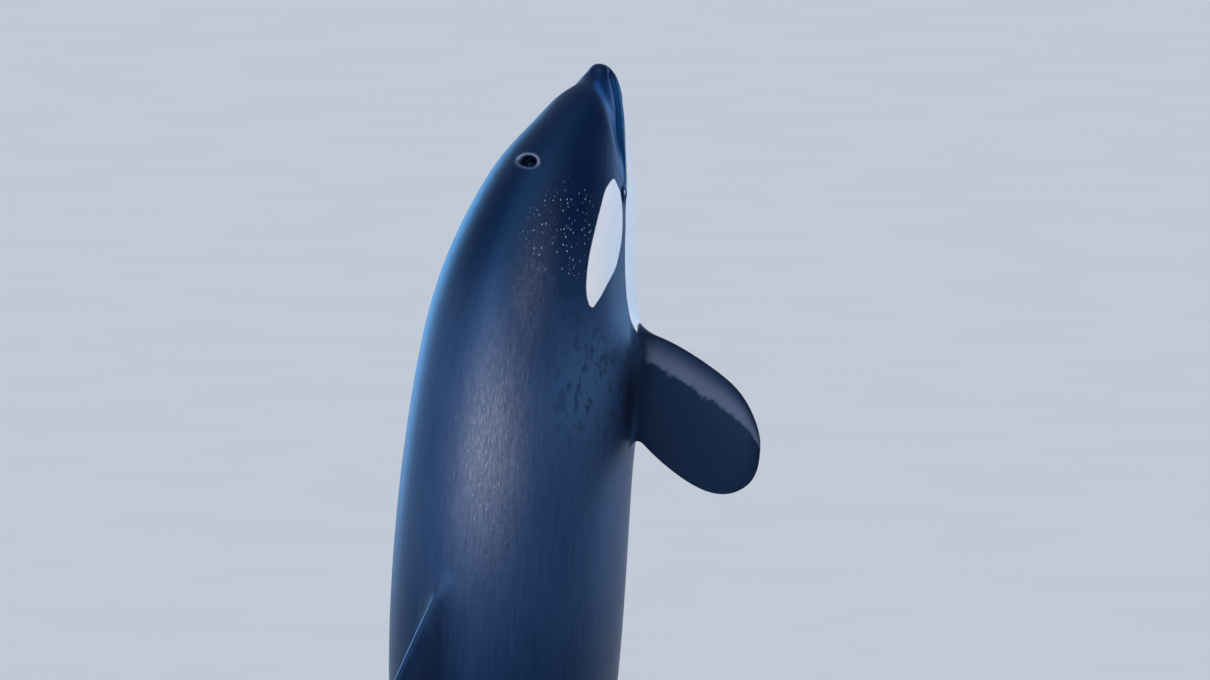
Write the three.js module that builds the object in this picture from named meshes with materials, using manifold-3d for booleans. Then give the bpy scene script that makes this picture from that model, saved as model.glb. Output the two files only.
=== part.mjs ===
// A life-size orca rising head first, upright on a display stand.
// Millimetres. Head up along +Z, belly towards +X, left side towards +Y.
// Each sub-part is first made on a straight body that hangs down from the snout,
// where X is the depth towards the belly, Y the width and Z minus the distance from the snout.
// The body's lean is then worked into every vertex, and the animal is set on its stand.
import * as THREE from 'three';
import { mergeVertices } from 'three/addons/utils/BufferGeometryUtils.js';
import Module from 'manifold-3d';

const wasm = await Module();
wasm.setup();

// Body, snout to fluke notch
const LENGTH = 5800;
const GAP = 0.3;
// Distance from the snout, height of the back, depth of the belly, half width
const STATIONS = [
  [0, -115, -115, 0],
  [30, -65, -168, 57],
  [90, -13, -208, 94],
  [190, 81, -231, 147],
  [320, 183, -277, 203],
  [470, 283, -329, 269],
  [730, 400, -392, 340],
  [1000, 468, -451, 400],
  [1450, 515, -510, 448],
  [2100, 545, -530, 472],
  [2700, 530, -515, 462],
  [3400, 465, -445, 388],
  [4100, 360, -335, 275],
  [4700, 262, -230, 175],
  [5200, 152, -130, 108],
  [5450, 76, -66, 74],
  [5600, 36, -32, 50],
  [5720, 12, -12, 24],
];
// Where the body is divided: head, chest, abdomen and tail stock
const HEAD_END = 1000;
const CHEST_END = 2080;
const ABDOMEN_END = 3900;
const STOCK_END = 5720;
// Lean of the body from upright, in degrees, towards the belly and towards the right side
const LEAN = [
  [0, 12.2, 2],
  [500, 10.9, 10],
  [1000, 8.5, 6.2],
  [1600, 6.5, 2.5],
  [3000, 3, 0.5],
  [4500, -3, 0],
  [6100, -8, 0],
];

// Level of the widest line of each section, which drops towards the snout
const BODY_LEVEL = 10;
const SNOUT_DROP = 125;
const DROP_LENGTH = 340;
// Roundness of the sections along the body, above and below the widest line; 2 is an ellipse
const ROUNDNESS_AT = [0, 0.05, 0.2, 0.5, 0.75, 1];
const ROUNDNESS_ABOVE = [2.1, 1.9, 2.0, 2.0, 1.8, 1.9];
const ROUNDNESS_BELOW = [2.2, 2.3, 2.2, 2.1, 1.8, 1.9];

// Crease between the forehead and the upper lip: angle from the back, distance from the snout
const CREASE_LINE = [[0, 70], [40, 84], [72, 154], [88, 228], [95, 290], [100, 370], [103, 460]];
const CREASE_DEPTH = 21;
const CREASE_BEHIND = 44;
const CREASE_AHEAD = 58;
const CREASE_FADE = [260, 470];
// The crease starts this far behind the snout's tip, and ends this angle above the mouth
const CREASE_START = 50;
const CREASE_ABOVE_MOUTH = 0.2;
// Least radius by which an angle is turned into a distance along the skin
const LEAST_RADIUS = 30;
// Swelling ahead of each flipper: where it is, how high, and how far it reaches
const SHOULDER = { at: 1220, angle: 122, height: 52, ahead: 150, behind: 300, around: 34 };
// Line of the mouth: distance from the snout, angle from the back
const MOUTH_LINE = [
  [0, 120], [40, 117], [100, 116], [190, 114.5], [320, 109.2], [450, 104.6], [600, 104], [1000, 106],
];
const MOUTH_CORNER = 450;
const LIP_GROOVE = 7;
const LIP_GROOVE_WIDTH = 5;
const LIP_SWELL = 5;
const LIP_SWELL_WIDTH = 9;
const LIP_OFFSET = 14;
const LIP_START = 40;
const LIP_END = 60;
// The jaw ends under the throat
const JAW_REAR = 640;
const JAW_CUT_AHEAD = 60;
const JAW_CUT_BELOW = 120;
// Columns of the head's grid on either side of the mouth line, in millimetres along the skin,
// which spread out to this many times that behind the mouth's corner
const LIP_COLUMNS = [5, 14, 27];
const LIP_COLUMN_SPREAD = 3;
const LIP_COLUMN_REACH = 90;
const COLUMNS_ABOVE = 13;
const COLUMNS_BELOW = 6;
const HEAD_RINGS = 25;

// Blowhole on the top of the head
const BLOWHOLE_AT = 483;
const BLOWHOLE_ANGLE = 2;
const BLOWHOLE = { halfWidth: 47, halfLength: 30, depth: 36 };
const BLOWHOLE_RIM = { tube: 9, lengthMargin: 6, widthMargin: 5, sunk: 4 };
const NOSE_PLUG = { ahead: 14, sunk: 31, length: 22, width: 27, height: 20 };
// Eyes
const EYE_AT = 512;
const EYE_ANGLE = 98.3;
const EYE = { length: 26, height: 22, depth: 15, sunk: 9 };
const LIDS = { length: 48, height: 36, depth: 12, sunk: 3 };
const LID_OPENING = { length: 19.5, height: 11 };

// Each fin's outline: share of its height, and the distance of both edges behind its front root
const DORSAL = {
  at: 2230,
  rootMiddle: 2650,
  height: 730,
  sunk: 12,
  lead: [[-0.15, -130], [0, 0], [0.25, 215], [0.5, 440], [0.75, 665], [0.9, 815], [1, 930]],
  trail: [[-0.15, 880], [0, 850], [0.12, 800], [0.3, 765], [0.5, 775], [0.7, 825], [0.88, 900], [1, 965]],
  thickness: [112, 18],
  bow: 0,
  filletLift: 8,
};
const FLIPPER = {
  at: 1111,
  rootMiddle: 1300,
  angle: 113,
  height: 605,
  sunk: 58,
  lead: [[-0.2, -45], [0, -15], [0.2, 12], [0.4, 58], [0.6, 122], [0.8, 211], [0.9, 290], [0.96, 362], [1, 470]],
  trail: [[-0.2, 395], [0, 425], [0.2, 520], [0.4, 610], [0.6, 672], [0.8, 682], [0.9, 652], [0.96, 612], [1, 510]],
  roundTip: true,
  thickness: [92, 20],
  bow: 50,
  filletLift: 34,
};
const FLUKES = {
  at: 5235,
  height: 780,
  lead: [[-0.15, 0], [0, 0], [0.12, 35], [0.3, 130], [0.5, 255], [0.7, 385], [0.85, 490], [0.95, 570], [1, 625]],
  trail: [[-0.15, 565], [0, 565], [0.05, 600], [0.15, 638], [0.35, 648], [0.6, 632], [0.8, 626], [0.92, 640], [1, 660]],
  thickness: [100, 16],
  bow: 26,
  filletLift: -14,
};
// Right and left flipper: how far each spreads outwards and towards the belly, and how far it sweeps back
const FLIPPER_SPREAD = { right: { out: 0.93, down: 0.37, sweep: 0 }, left: { out: 0.69, down: 0.72, sweep: 0.12 } };
// Fillet where a fin grows out of the body: its radius, the share of it that is drawn,
// and how much of it stands out at the fin's front and rear edges
const ROOT_FILLET = 70;
const FILLET_SHARE = 0.94;
const FRONT_FILLET = 0.5;
const REAR_FILLET = 0.7;

// Stand
const BASE = { radius: 1050, thickness: 60, edge: 14 };
const TAIL_CLEARANCE = 55;
const ROD = { radius: 42, reach: 1180, tilt: 24, foot: 105, footThickness: 18 };
const ROD_SIDES = 28;
// The base is centred under this point of the body, near the middle of its weight
const WEIGHT_MIDDLE = 2450;

// Natural cubic spline through a few points
function spline(xs, ys) {
  const n = xs.length;
  const step = xs.slice(1).map((x, i) => x - xs[i]);
  const rise = ys.slice(1).map((y, i) => (y - ys[i]) / step[i]);
  const bend = new Array(n).fill(0);
  const upper = new Array(n).fill(0);
  for (let i = 1; i < n - 1; i++) {
    const pivot = 2 * (step[i - 1] + step[i]) - step[i - 1] * upper[i - 1];
    upper[i] = step[i] / pivot;
    bend[i] = (6 * (rise[i] - rise[i - 1]) - step[i - 1] * bend[i - 1]) / pivot;
  }
  for (let i = n - 2; i > 0; i--) bend[i] -= upper[i] * bend[i + 1];
  return (x) => {
    let i = 0;
    while (i < n - 2 && x > xs[i + 1]) i++;
    const a = xs[i + 1] - x;
    const b = x - xs[i];
    const h = step[i];
    const cubic = (bend[i] * a ** 3 + bend[i + 1] * b ** 3) / (6 * h);
    return cubic + (ys[i] / h - (bend[i] * h) / 6) * a + (ys[i + 1] / h - (bend[i + 1] * h) / 6) * b;
  };
}

const rad = (degrees) => (degrees * Math.PI) / 180;
const clamp = (value, low, high) => Math.min(high, Math.max(low, value));
const mix = (a, b, t) => a + (b - a) * t;

function ease(t) {
  const x = clamp(t, 0, 1);
  return x * x * (3 - 2 * x);
}

function between(x, xs, ys) {
  let i = 0;
  while (i < xs.length - 2 && x > xs[i + 1]) i++;
  return mix(ys[i], ys[i + 1], clamp((x - xs[i]) / (xs[i + 1] - xs[i]), 0, 1));
}

// The body's lines are splines over the square root of the distance, so the snout is round
const rootScale = (s) => Math.sqrt(Math.max(s, 0) / LENGTH);
const stationRoots = STATIONS.map(([s]) => rootScale(s));
const [backLine, bellyLine, widthLine] = [1, 2, 3].map((k) => {
  const line = spline(stationRoots, STATIONS.map((row) => row[k]));
  return (s) => line(rootScale(s));
});
const level = (s) => BODY_LEVEL - SNOUT_DROP * Math.exp(-((Math.max(s, 0) / DROP_LENGTH) ** 1.5));
const creaseLine = spline(CREASE_LINE.map(([angle]) => rad(angle)), CREASE_LINE.map(([, s]) => s));
const mouthLine = spline(MOUTH_LINE.map(([s]) => s), MOUTH_LINE.map(([, angle]) => rad(angle)));

// Superellipse section: its radius from the widest level at an angle from the back
function sectionRadius(s, angle) {
  const rise = Math.cos(angle);
  const roundness = between(s / LENGTH, ROUNDNESS_AT, rise > 0 ? ROUNDNESS_ABOVE : ROUNDNESS_BELOW);
  const height = Math.max(rise > 0 ? backLine(s) - level(s) : level(s) - bellyLine(s), 1e-3);
  const width = Math.max(widthLine(s), 1e-3);
  const sum = (Math.abs(rise) / height) ** roundness + (Math.abs(Math.sin(angle)) / width) ** roundness;
  return sum ** (-1 / roundness);
}

// A groove that runs round the front of the forehead and fades out above the mouth corner
function creaseDepth(s, angle, radius) {
  const last = rad(CREASE_LINE.at(-1)[0]);
  const line = creaseLine(Math.min(angle, last));
  const slope = (creaseLine(Math.min(angle + 0.01, last)) - line) / 0.01;
  const distance = (s - line) / Math.hypot(1, slope / Math.max(radius, LEAST_RADIUS));
  const width = distance > 0 ? CREASE_BEHIND : CREASE_AHEAD;
  const [start, end] = CREASE_FADE;
  const above = 1 - ease((angle - mouthLine(s)) / CREASE_ABOVE_MOUTH + 1);
  const fade = (1 - ease((s - start) / (end - start))) * above * ease(s / CREASE_START);
  return CREASE_DEPTH * fade * Math.exp(-((distance / width) ** 2));
}

// Lips: a swelling on both sides of the mouth line, with the line sunk between them
function lipHeight(s, angle, radius) {
  const distance = Math.abs(angle - mouthLine(s)) * Math.max(radius, LEAST_RADIUS);
  const along = ease(s / LIP_START) * (1 - ease((s - MOUTH_CORNER) / LIP_END));
  const swell = LIP_SWELL * Math.exp(-(((distance - LIP_OFFSET) / LIP_SWELL_WIDTH) ** 2));
  return along * (swell - LIP_GROOVE * Math.exp(-((distance / LIP_GROOVE_WIDTH) ** 2)));
}

// Swelling of the shoulder: a bell along the body and round it
function shoulderHeight(s, angle) {
  const along = (s - SHOULDER.at) / (s < SHOULDER.at ? SHOULDER.ahead : SHOULDER.behind);
  const around = (angle - rad(SHOULDER.angle)) / rad(SHOULDER.around);
  return SHOULDER.height * Math.exp(-(along ** 2) - around ** 2);
}

function bodyRadius(s, angle) {
  const side = Math.abs(angle) > Math.PI ? 2 * Math.PI - Math.abs(angle) : Math.abs(angle);
  const radius = sectionRadius(s, side);
  const detail = s < HEAD_END ? lipHeight(s, side, radius) - creaseDepth(s, side, radius) : 0;
  return radius + shoulderHeight(s, side) + detail;
}

// A point of the straight body, grown outwards by some distance
function bodyPoint(s, angle, grow = 0) {
  const radius = bodyRadius(s, angle) + grow;
  return new THREE.Vector3(-level(s) - radius * Math.cos(angle), radius * Math.sin(angle), -s);
}

// Solids

// Closed surface through rings of equal count; its ends are closed by a fan round their middle
function loft(rings) {
  const count = rings[0].length;
  const middle = (ring) => ring.reduce((sum, p) => sum.add(p), new THREE.Vector3()).divideScalar(count);
  const points = rings.flat();
  const first = points.push(middle(rings[0])) - 1;
  const last = points.push(middle(rings.at(-1))) - 1;
  const index = [];
  for (let i = 0; i < rings.length - 1; i++) {
    for (let j = 0; j < count; j++) {
      const a = i * count + j;
      const b = i * count + ((j + 1) % count);
      index.push(a, b, b + count, a, b + count, a + count);
    }
  }
  const end = (rings.length - 1) * count;
  for (let j = 0; j < count; j++) {
    const next = (j + 1) % count;
    index.push(first, next, j, last, end + j, end + next);
  }
  const geometry = new THREE.BufferGeometry();
  geometry.setAttribute('position', new THREE.Float32BufferAttribute(points.flatMap((p) => p.toArray()), 3));
  geometry.setIndex(index);
  return geometry;
}

// A closed mesh as a solid, turned so that its faces point out
function solid(geometry) {
  const bare = geometry.clone();
  bare.deleteAttribute('normal');
  bare.deleteAttribute('uv');
  const merged = mergeVertices(bare, 1e-4);
  const vertProperties = new Float32Array(merged.getAttribute('position').array);
  const triVerts = new Uint32Array(merged.index.array);
  const corner = [0, 1, 2].map(() => new THREE.Vector3());
  let volume = 0;
  for (let i = 0; i < triVerts.length; i += 3) {
    corner.forEach((p, k) => p.fromArray(vertProperties, triVerts[i + k] * 3));
    volume += corner[0].dot(corner[1].clone().cross(corner[2]));
  }
  if (volume < 0) triVerts.reverse();
  return new wasm.Manifold(new wasm.Mesh({ numProp: 3, vertProperties, triVerts }));
}

function geometryOf(manifold) {
  const mesh = manifold.getMesh();
  const positions = new Float32Array(mesh.numVert * 3);
  for (let i = 0; i < mesh.numVert; i++) {
    for (let k = 0; k < 3; k++) positions[i * 3 + k] = mesh.vertProperties[i * mesh.numProp + k];
  }
  const geometry = new THREE.BufferGeometry();
  geometry.setAttribute('position', new THREE.BufferAttribute(positions, 3));
  geometry.setIndex(new THREE.BufferAttribute(new Uint32Array(mesh.triVerts), 1));
  return geometry;
}

// The largest closed body of a solid
function largest(manifold) {
  return manifold.decompose().reduce((best, piece) => (piece.volume() > best.volume() ? piece : best));
}

// Straight body

const TORSO_SIDES = 48;
const torsoAngles = Array.from({ length: TORSO_SIDES }, (_, i) => (2 * Math.PI * i) / TORSO_SIDES);

function torsoRings(from, to, steps, grow = 0) {
  return Array.from({ length: steps + 1 }, (_, i) => {
    const s = mix(from, to, i / steps);
    return torsoAngles.map((angle) => bodyPoint(s, angle, grow));
  });
}

const CHEST_STEPS = 12;
const ABDOMEN_STEPS = 10;
const STOCK_STEPS = 16;
const chest = solid(loft(torsoRings(HEAD_END + GAP, CHEST_END - GAP, CHEST_STEPS)));
const abdomen = solid(loft(torsoRings(CHEST_END, ABDOMEN_END - GAP, ABDOMEN_STEPS)));
const tailStock = solid(loft(torsoRings(ABDOMEN_END, STOCK_END, STOCK_STEPS)));
// The torso grown by the gap trims whatever stands on it
const grownTorso = solid(loft([
  ...torsoRings(HEAD_END - 150, HEAD_END, 2, GAP),
  ...torsoRings(HEAD_END + GAP, CHEST_END - GAP, CHEST_STEPS, GAP),
  ...torsoRings(CHEST_END, ABDOMEN_END - GAP, ABDOMEN_STEPS, GAP),
  ...torsoRings(ABDOMEN_END, STOCK_END + GAP, STOCK_STEPS, GAP),
]));

// Head and lower jaw

// Angles of the head's columns on one side, closer together along the mouth
function sideAngles(s) {
  const mouth = mouthLine(s);
  const reach = Math.max(sectionRadius(s, mouth), LIP_COLUMN_REACH);
  const spread = mix(1, LIP_COLUMN_SPREAD, ease((s - MOUTH_CORNER) / (HEAD_END - MOUTH_CORNER)));
  const lips = [...LIP_COLUMNS.map((d) => -d).reverse(), 0, ...LIP_COLUMNS];
  const near = lips.map((d) => mouth + (d * spread) / reach);
  const above = Array.from({ length: COLUMNS_ABOVE }, (_, i) => (near[0] * i) / COLUMNS_ABOVE);
  const below = Array.from({ length: COLUMNS_BELOW + 1 }, (_, i) =>
    mix(near.at(-1), Math.PI, (i + 1) / (COLUMNS_BELOW + 1)));
  return [...above, ...near, ...below];
}

function headRing(s) {
  const left = sideAngles(s);
  const right = left.slice(1, -1).reverse().map((angle) => -angle);
  return [...left, ...right].map((angle) => bodyPoint(s, angle));
}

const headStations = Array.from({ length: HEAD_RINGS }, (_, i) => HEAD_END * ((i + 1) / HEAD_RINGS) ** 1.7);
const snoutTip = new THREE.Vector3(-level(0), 0, 0);
const noseRing = headRing(headStations[0]).map(() => snoutTip.clone());
const wholeHead = solid(loft([noseRing, ...headStations.map(headRing)]));

// Side view of the jaw: below the mouth line and ahead of a slanting line under the throat
function jawCutter(inset) {
  const width = 2 * widthLine(HEAD_END);
  const depth = (s) => bodyPoint(s, mouthLine(s)).x + inset;
  const corner = headStations.filter((s) => s < MOUTH_CORNER);
  const outline = [
    new THREE.Vector2(depth(corner[0]), JAW_CUT_AHEAD),
    ...[...corner, MOUTH_CORNER].map((s) => new THREE.Vector2(depth(s), -s + (s === MOUTH_CORNER ? inset : 0))),
    new THREE.Vector2(JAW_CUT_BELOW - bellyLine(JAW_REAR), -JAW_REAR + inset),
    new THREE.Vector2(JAW_CUT_BELOW - bellyLine(JAW_REAR), JAW_CUT_AHEAD),
  ];
  const prism = new THREE.ExtrudeGeometry(new THREE.Shape(outline), { depth: width, bevelEnabled: false });
  return solid(prism.rotateX(Math.PI / 2).translate(0, width / 2, 0));
}

// Frame on the skin: across the body, along it towards the tail, and straight out
function skinFrame(s, angle) {
  const point = bodyPoint(s, angle);
  const along = bodyPoint(s + 4, angle).sub(bodyPoint(s - 4, angle)).normalize();
  const round = bodyPoint(s, angle + 0.02).sub(bodyPoint(s, angle - 0.02)).normalize();
  const out = along.clone().cross(round).normalize();
  if (out.dot(new THREE.Vector3(point.x + level(s), point.y, 0)) < 0) out.negate();
  const across = out.clone().cross(along).normalize();
  return new THREE.Matrix4().makeBasis(along, across, out).setPosition(point);
}

// Ellipsoid, ring or prism in a skin frame, sunk below the skin
function ellipsoid(frame, along, across, out, sunk, sides = 16, rows = 8) {
  const ball = new THREE.SphereGeometry(1, sides, rows).rotateX(Math.PI / 2).scale(along, across, out);
  return solid(ball.translate(0, 0, -sunk).applyMatrix4(frame));
}

function oval(frame, along, across, tube, sunk) {
  const ring = new THREE.TorusGeometry(1, tube / across, 6, 24).scale(along, across, across);
  return solid(ring.translate(0, 0, -sunk).applyMatrix4(frame));
}

// Almond opening between the lids, pointed at both ends
function lidOpening(frame) {
  const { length, height } = LID_OPENING;
  const almond = new THREE.Shape();
  almond.moveTo(-length, 0);
  almond.quadraticCurveTo(-length / 2, height * 1.1, 0, height);
  almond.quadraticCurveTo(length / 2, height * 0.9, length, 0);
  almond.quadraticCurveTo(length / 2, -height * 0.9, 0, -height);
  almond.quadraticCurveTo(-length / 2, -height * 1.1, -length, 0);
  const prism = new THREE.ExtrudeGeometry(almond, { depth: 40, bevelEnabled: false, curveSegments: 4 });
  return solid(prism.translate(0, 0, -4).applyMatrix4(frame));
}

const eyeFrames = { left: skinFrame(EYE_AT, rad(EYE_ANGLE)), right: skinFrame(EYE_AT, -rad(EYE_ANGLE)) };
const eyeball = (frame, grow) =>
  ellipsoid(frame, EYE.length + grow, EYE.height + grow, EYE.depth + grow, EYE.sunk);

function finishHead(head) {
  let shaped = head;
  for (const frame of Object.values(eyeFrames)) {
    shaped = shaped.add(ellipsoid(frame, LIDS.length, LIDS.height, LIDS.depth, LIDS.sunk, 20, 8));
    shaped = shaped.subtract(eyeball(frame, GAP)).subtract(lidOpening(frame));
  }
  const hole = skinFrame(BLOWHOLE_AT, rad(BLOWHOLE_ANGLE));
  const { halfWidth, halfLength, depth } = BLOWHOLE;
  const { tube, lengthMargin, widthMargin, sunk } = BLOWHOLE_RIM;
  shaped = shaped.add(oval(hole, halfLength + lengthMargin, halfWidth + widthMargin, tube, sunk));
  shaped = shaped.subtract(ellipsoid(hole, halfLength, halfWidth, depth, 0, 24, 10));
  const plug = hole.clone().multiply(new THREE.Matrix4().makeTranslation(-NOSE_PLUG.ahead, 0, 0));
  return largest(shaped.add(ellipsoid(plug, NOSE_PLUG.length, NOSE_PLUG.width, NOSE_PLUG.height, NOSE_PLUG.sunk, 12, 6)));
}

const lowerJaw = largest(wholeHead.intersect(jawCutter(GAP)));
const head = finishHead(wholeHead.subtract(jawCutter(0)));

// Fins

// Aerofoil section: share of the half thickness at a share of the chord, with a blunt rear edge
const CHORD_STEPS = 9;
const REAR_EDGE = 0.06;
const FIN_STEPS = 9;
// Heights of the sections near the root, over the height where the fillet starts
const ROOT_DEPTH = -90;
const ROOT_HEIGHTS = [0, 9, 24, 46, 74, 110];
const TAPER = 0.8;
function foil(x) {
  const curve = 0.2969 * Math.sqrt(x) - 0.126 * x - 0.3516 * x ** 2 + 0.2843 * x ** 3 - 0.1036 * x ** 4;
  return 10 * curve + REAR_EDGE * x;
}

// How far a fillet of the root stands out at a height over the skin
function filletAt(height) {
  const t = clamp(1 - height / ROOT_FILLET, 0, FILLET_SHARE);
  return ROOT_FILLET * (1 - Math.sqrt(1 - t * t));
}

// A fin as a loft of sections along its height, with its root sunk in the body
function fin(shape, base, span, side = 1, sweep = 0) {
  const tail = new THREE.Vector3(0, 0, -1);
  const face = span.clone().cross(tail).normalize().multiplyScalar(side);
  // A round tip's outline runs smoothly over the root of the share that is left
  const place = (share) => (shape.roundTip ? -Math.sqrt(Math.max(1 - share, 0)) : share);
  const [lead, trail] = [shape.lead, shape.trail].map((line) => {
    const behind = spline(line.map(([share]) => place(share)), line.map(([, distance]) => distance));
    return (share) => behind(place(share));
  });
  const heights = [ROOT_DEPTH, ...ROOT_HEIGHTS.map((height) => height + shape.filletLift)];
  const rootTop = heights.at(-1);
  for (let i = 1; i <= FIN_STEPS; i++) {
    heights.push(mix(rootTop, shape.height, Math.sin((Math.PI / 2) * (i / FIN_STEPS))));
  }
  const chordShares = Array.from({ length: CHORD_STEPS + 1 }, (_, i) =>
    (1 - Math.cos((Math.PI * i) / CHORD_STEPS)) / 2);
  return loft(heights.map((height) => {
    const share = height / shape.height;
    const skirt = filletAt(height - shape.filletLift);
    const half = mix(...shape.thickness, clamp(share, 0, 1) ** TAPER) / 2 + skirt;
    const centre = base.clone().addScaledVector(span, height).addScaledVector(face, shape.bow * share * share);
    const at = (x, sign) => centre.clone()
      .addScaledVector(tail, sweep * height)
      .addScaledVector(tail, mix(lead(share) - skirt * FRONT_FILLET, trail(share) + skirt * REAR_FILLET, x))
      .addScaledVector(face, sign * foil(x) * half);
    const over = chordShares.map((x) => at(x, 1));
    const under = chordShares.slice(1).reverse().map((x) => at(x, -1));
    return [...over, ...under];
  }));
}

function dorsalFin() {
  const base = new THREE.Vector3(bodyPoint(DORSAL.rootMiddle, 0).x + DORSAL.sunk, 0, -DORSAL.at);
  return largest(solid(fin(DORSAL, base, new THREE.Vector3(-1, 0, 0))).subtract(grownTorso));
}

// A broad paddle that points back, outwards and towards the belly
function flipper(side, { out, down, sweep }) {
  const root = bodyPoint(FLIPPER.rootMiddle, side * rad(FLIPPER.angle));
  const span = new THREE.Vector3(down, side * out, 0).normalize();
  const base = new THREE.Vector3(root.x, root.y, -FLIPPER.at).addScaledVector(span, -FLIPPER.sunk);
  return largest(solid(fin(FLIPPER, base, span, side, sweep)).subtract(grownTorso));
}

// One lobe of the flukes, from the middle of the tail out to its tip
function fluke(side) {
  const base = new THREE.Vector3(0, 0, -FLUKES.at);
  const lobe = solid(fin(FLUKES, base, new THREE.Vector3(0, side, 0), side));
  const { height } = FLUKES;
  const half = new THREE.BoxGeometry(height, 2 * height, 3 * height).translate(0, side * (height + GAP / 2), -FLUKES.at);
  return largest(lobe.intersect(solid(half)).subtract(grownTorso));
}

// The lean of the whole body

const LEAN_STEP = 20;
const leanBelly = spline(LEAN.map(([s]) => s), LEAN.map(([, degrees]) => rad(degrees)));
const leanRight = spline(LEAN.map(([s]) => s), LEAN.map(([, , degrees]) => rad(degrees)));

function axisFrame(s) {
  const forward = new THREE.Vector3(Math.sin(leanBelly(s)), -Math.tan(leanRight(s)), Math.cos(leanBelly(s)));
  forward.normalize();
  const dorsal = new THREE.Vector3(-Math.cos(leanBelly(s)), 0, Math.sin(leanBelly(s)));
  const left = dorsal.cross(forward).normalize();
  return { forward, left, belly: left.clone().cross(forward) };
}

const axisPoints = [new THREE.Vector3()];
for (let s = LEAN_STEP; s <= LEAN.at(-1)[0]; s += LEAN_STEP) {
  axisPoints.push(axisPoints.at(-1).clone().addScaledVector(axisFrame(s - LEAN_STEP / 2).forward, -LEAN_STEP));
}

function leaned(point) {
  const s = -point.z;
  const i = clamp(Math.floor(s / LEAN_STEP), 0, axisPoints.length - 2);
  const { forward, left, belly } = axisFrame(clamp(s, 0, LEAN.at(-1)[0]));
  const centre = axisPoints[i].clone().lerp(axisPoints[i + 1], clamp(s, 0, Infinity) / LEAN_STEP - i);
  return centre.addScaledVector(forward, Math.max(-s, 0)).addScaledVector(left, point.y)
    .addScaledVector(belly, point.x);
}

function leanedGeometry(manifold) {
  const geometry = geometryOf(manifold);
  const position = geometry.getAttribute('position');
  const point = new THREE.Vector3();
  for (let i = 0; i < position.count; i++) {
    point.fromBufferAttribute(position, i);
    position.setXYZ(i, ...leaned(point).toArray());
  }
  geometry.computeBoundingBox();
  return geometry;
}

// Scene graph

const SKIN_BLACK = new THREE.MeshStandardMaterial({ color: 0x0b1220, roughness: 0.22, metalness: 0 });
const SKIN_WHITE = new THREE.MeshStandardMaterial({ color: 0xdde3ea, roughness: 0.28, metalness: 0 });
const EYE_DARK = new THREE.MeshStandardMaterial({ color: 0x0a0705, roughness: 0.06, metalness: 0 });
const STEEL = new THREE.MeshStandardMaterial({ color: 0x8e9398, roughness: 0.35, metalness: 0.9 });
const BASE_PAINT = new THREE.MeshStandardMaterial({ color: 0x3a3d40, roughness: 0.6, metalness: 0 });

const part = new THREE.Group();
const animal = new THREE.Group();
const stand = new THREE.Group();
part.add(animal, stand);

function addMesh(group, name, geometry, material) {
  const mesh = new THREE.Mesh(geometry, material);
  mesh.name = name;
  group.add(mesh);
  return mesh;
}

const flukeMeshes = { left: leanedGeometry(fluke(1)), right: leanedGeometry(fluke(-1)) };
const lowest = Math.min(flukeMeshes.left.boundingBox.min.z, flukeMeshes.right.boundingBox.min.z);
const weightCentre = leaned(new THREE.Vector3(0, 0, -WEIGHT_MIDDLE));
animal.position.set(-weightCentre.x, -weightCentre.y, BASE.thickness + TAIL_CLEARANCE - lowest);

addMesh(animal, 'head', leanedGeometry(head), SKIN_BLACK);
addMesh(animal, 'lower_jaw', leanedGeometry(lowerJaw), SKIN_WHITE);
addMesh(animal, 'chest', leanedGeometry(chest), SKIN_BLACK);
addMesh(animal, 'abdomen', leanedGeometry(abdomen), SKIN_BLACK);
addMesh(animal, 'tail_stock', leanedGeometry(tailStock), SKIN_BLACK);
addMesh(animal, 'dorsal_fin', leanedGeometry(dorsalFin()), SKIN_BLACK);
addMesh(animal, 'flipper_left', leanedGeometry(flipper(1, FLIPPER_SPREAD.left)), SKIN_BLACK);
addMesh(animal, 'flipper_right', leanedGeometry(flipper(-1, FLIPPER_SPREAD.right)), SKIN_BLACK);
addMesh(animal, 'fluke_left', flukeMeshes.left, SKIN_BLACK);
addMesh(animal, 'fluke_right', flukeMeshes.right, SKIN_BLACK);
addMesh(animal, 'eye_left', leanedGeometry(eyeball(eyeFrames.left, 0)), EYE_DARK);
addMesh(animal, 'eye_right', leanedGeometry(eyeball(eyeFrames.right, 0)), EYE_DARK);

// Stand: a round plate and two steel rods that lean in to the tail stock

function basePlate() {
  const { radius, thickness, edge } = BASE;
  const corner = Array.from({ length: 4 }, (_, i) => {
    const turn = (Math.PI / 2) * (i / 3);
    return new THREE.Vector2(radius - edge + edge * Math.cos(turn), thickness - edge + edge * Math.sin(turn));
  });
  const profile = [new THREE.Vector2(0, 0), new THREE.Vector2(radius, 0), ...corner, new THREE.Vector2(0, thickness)];
  return new THREE.LatheGeometry(profile, 64).rotateX(Math.PI / 2);
}
addMesh(stand, 'stand_base', geometryOf(solid(basePlate())), BASE_PAINT);

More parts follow.
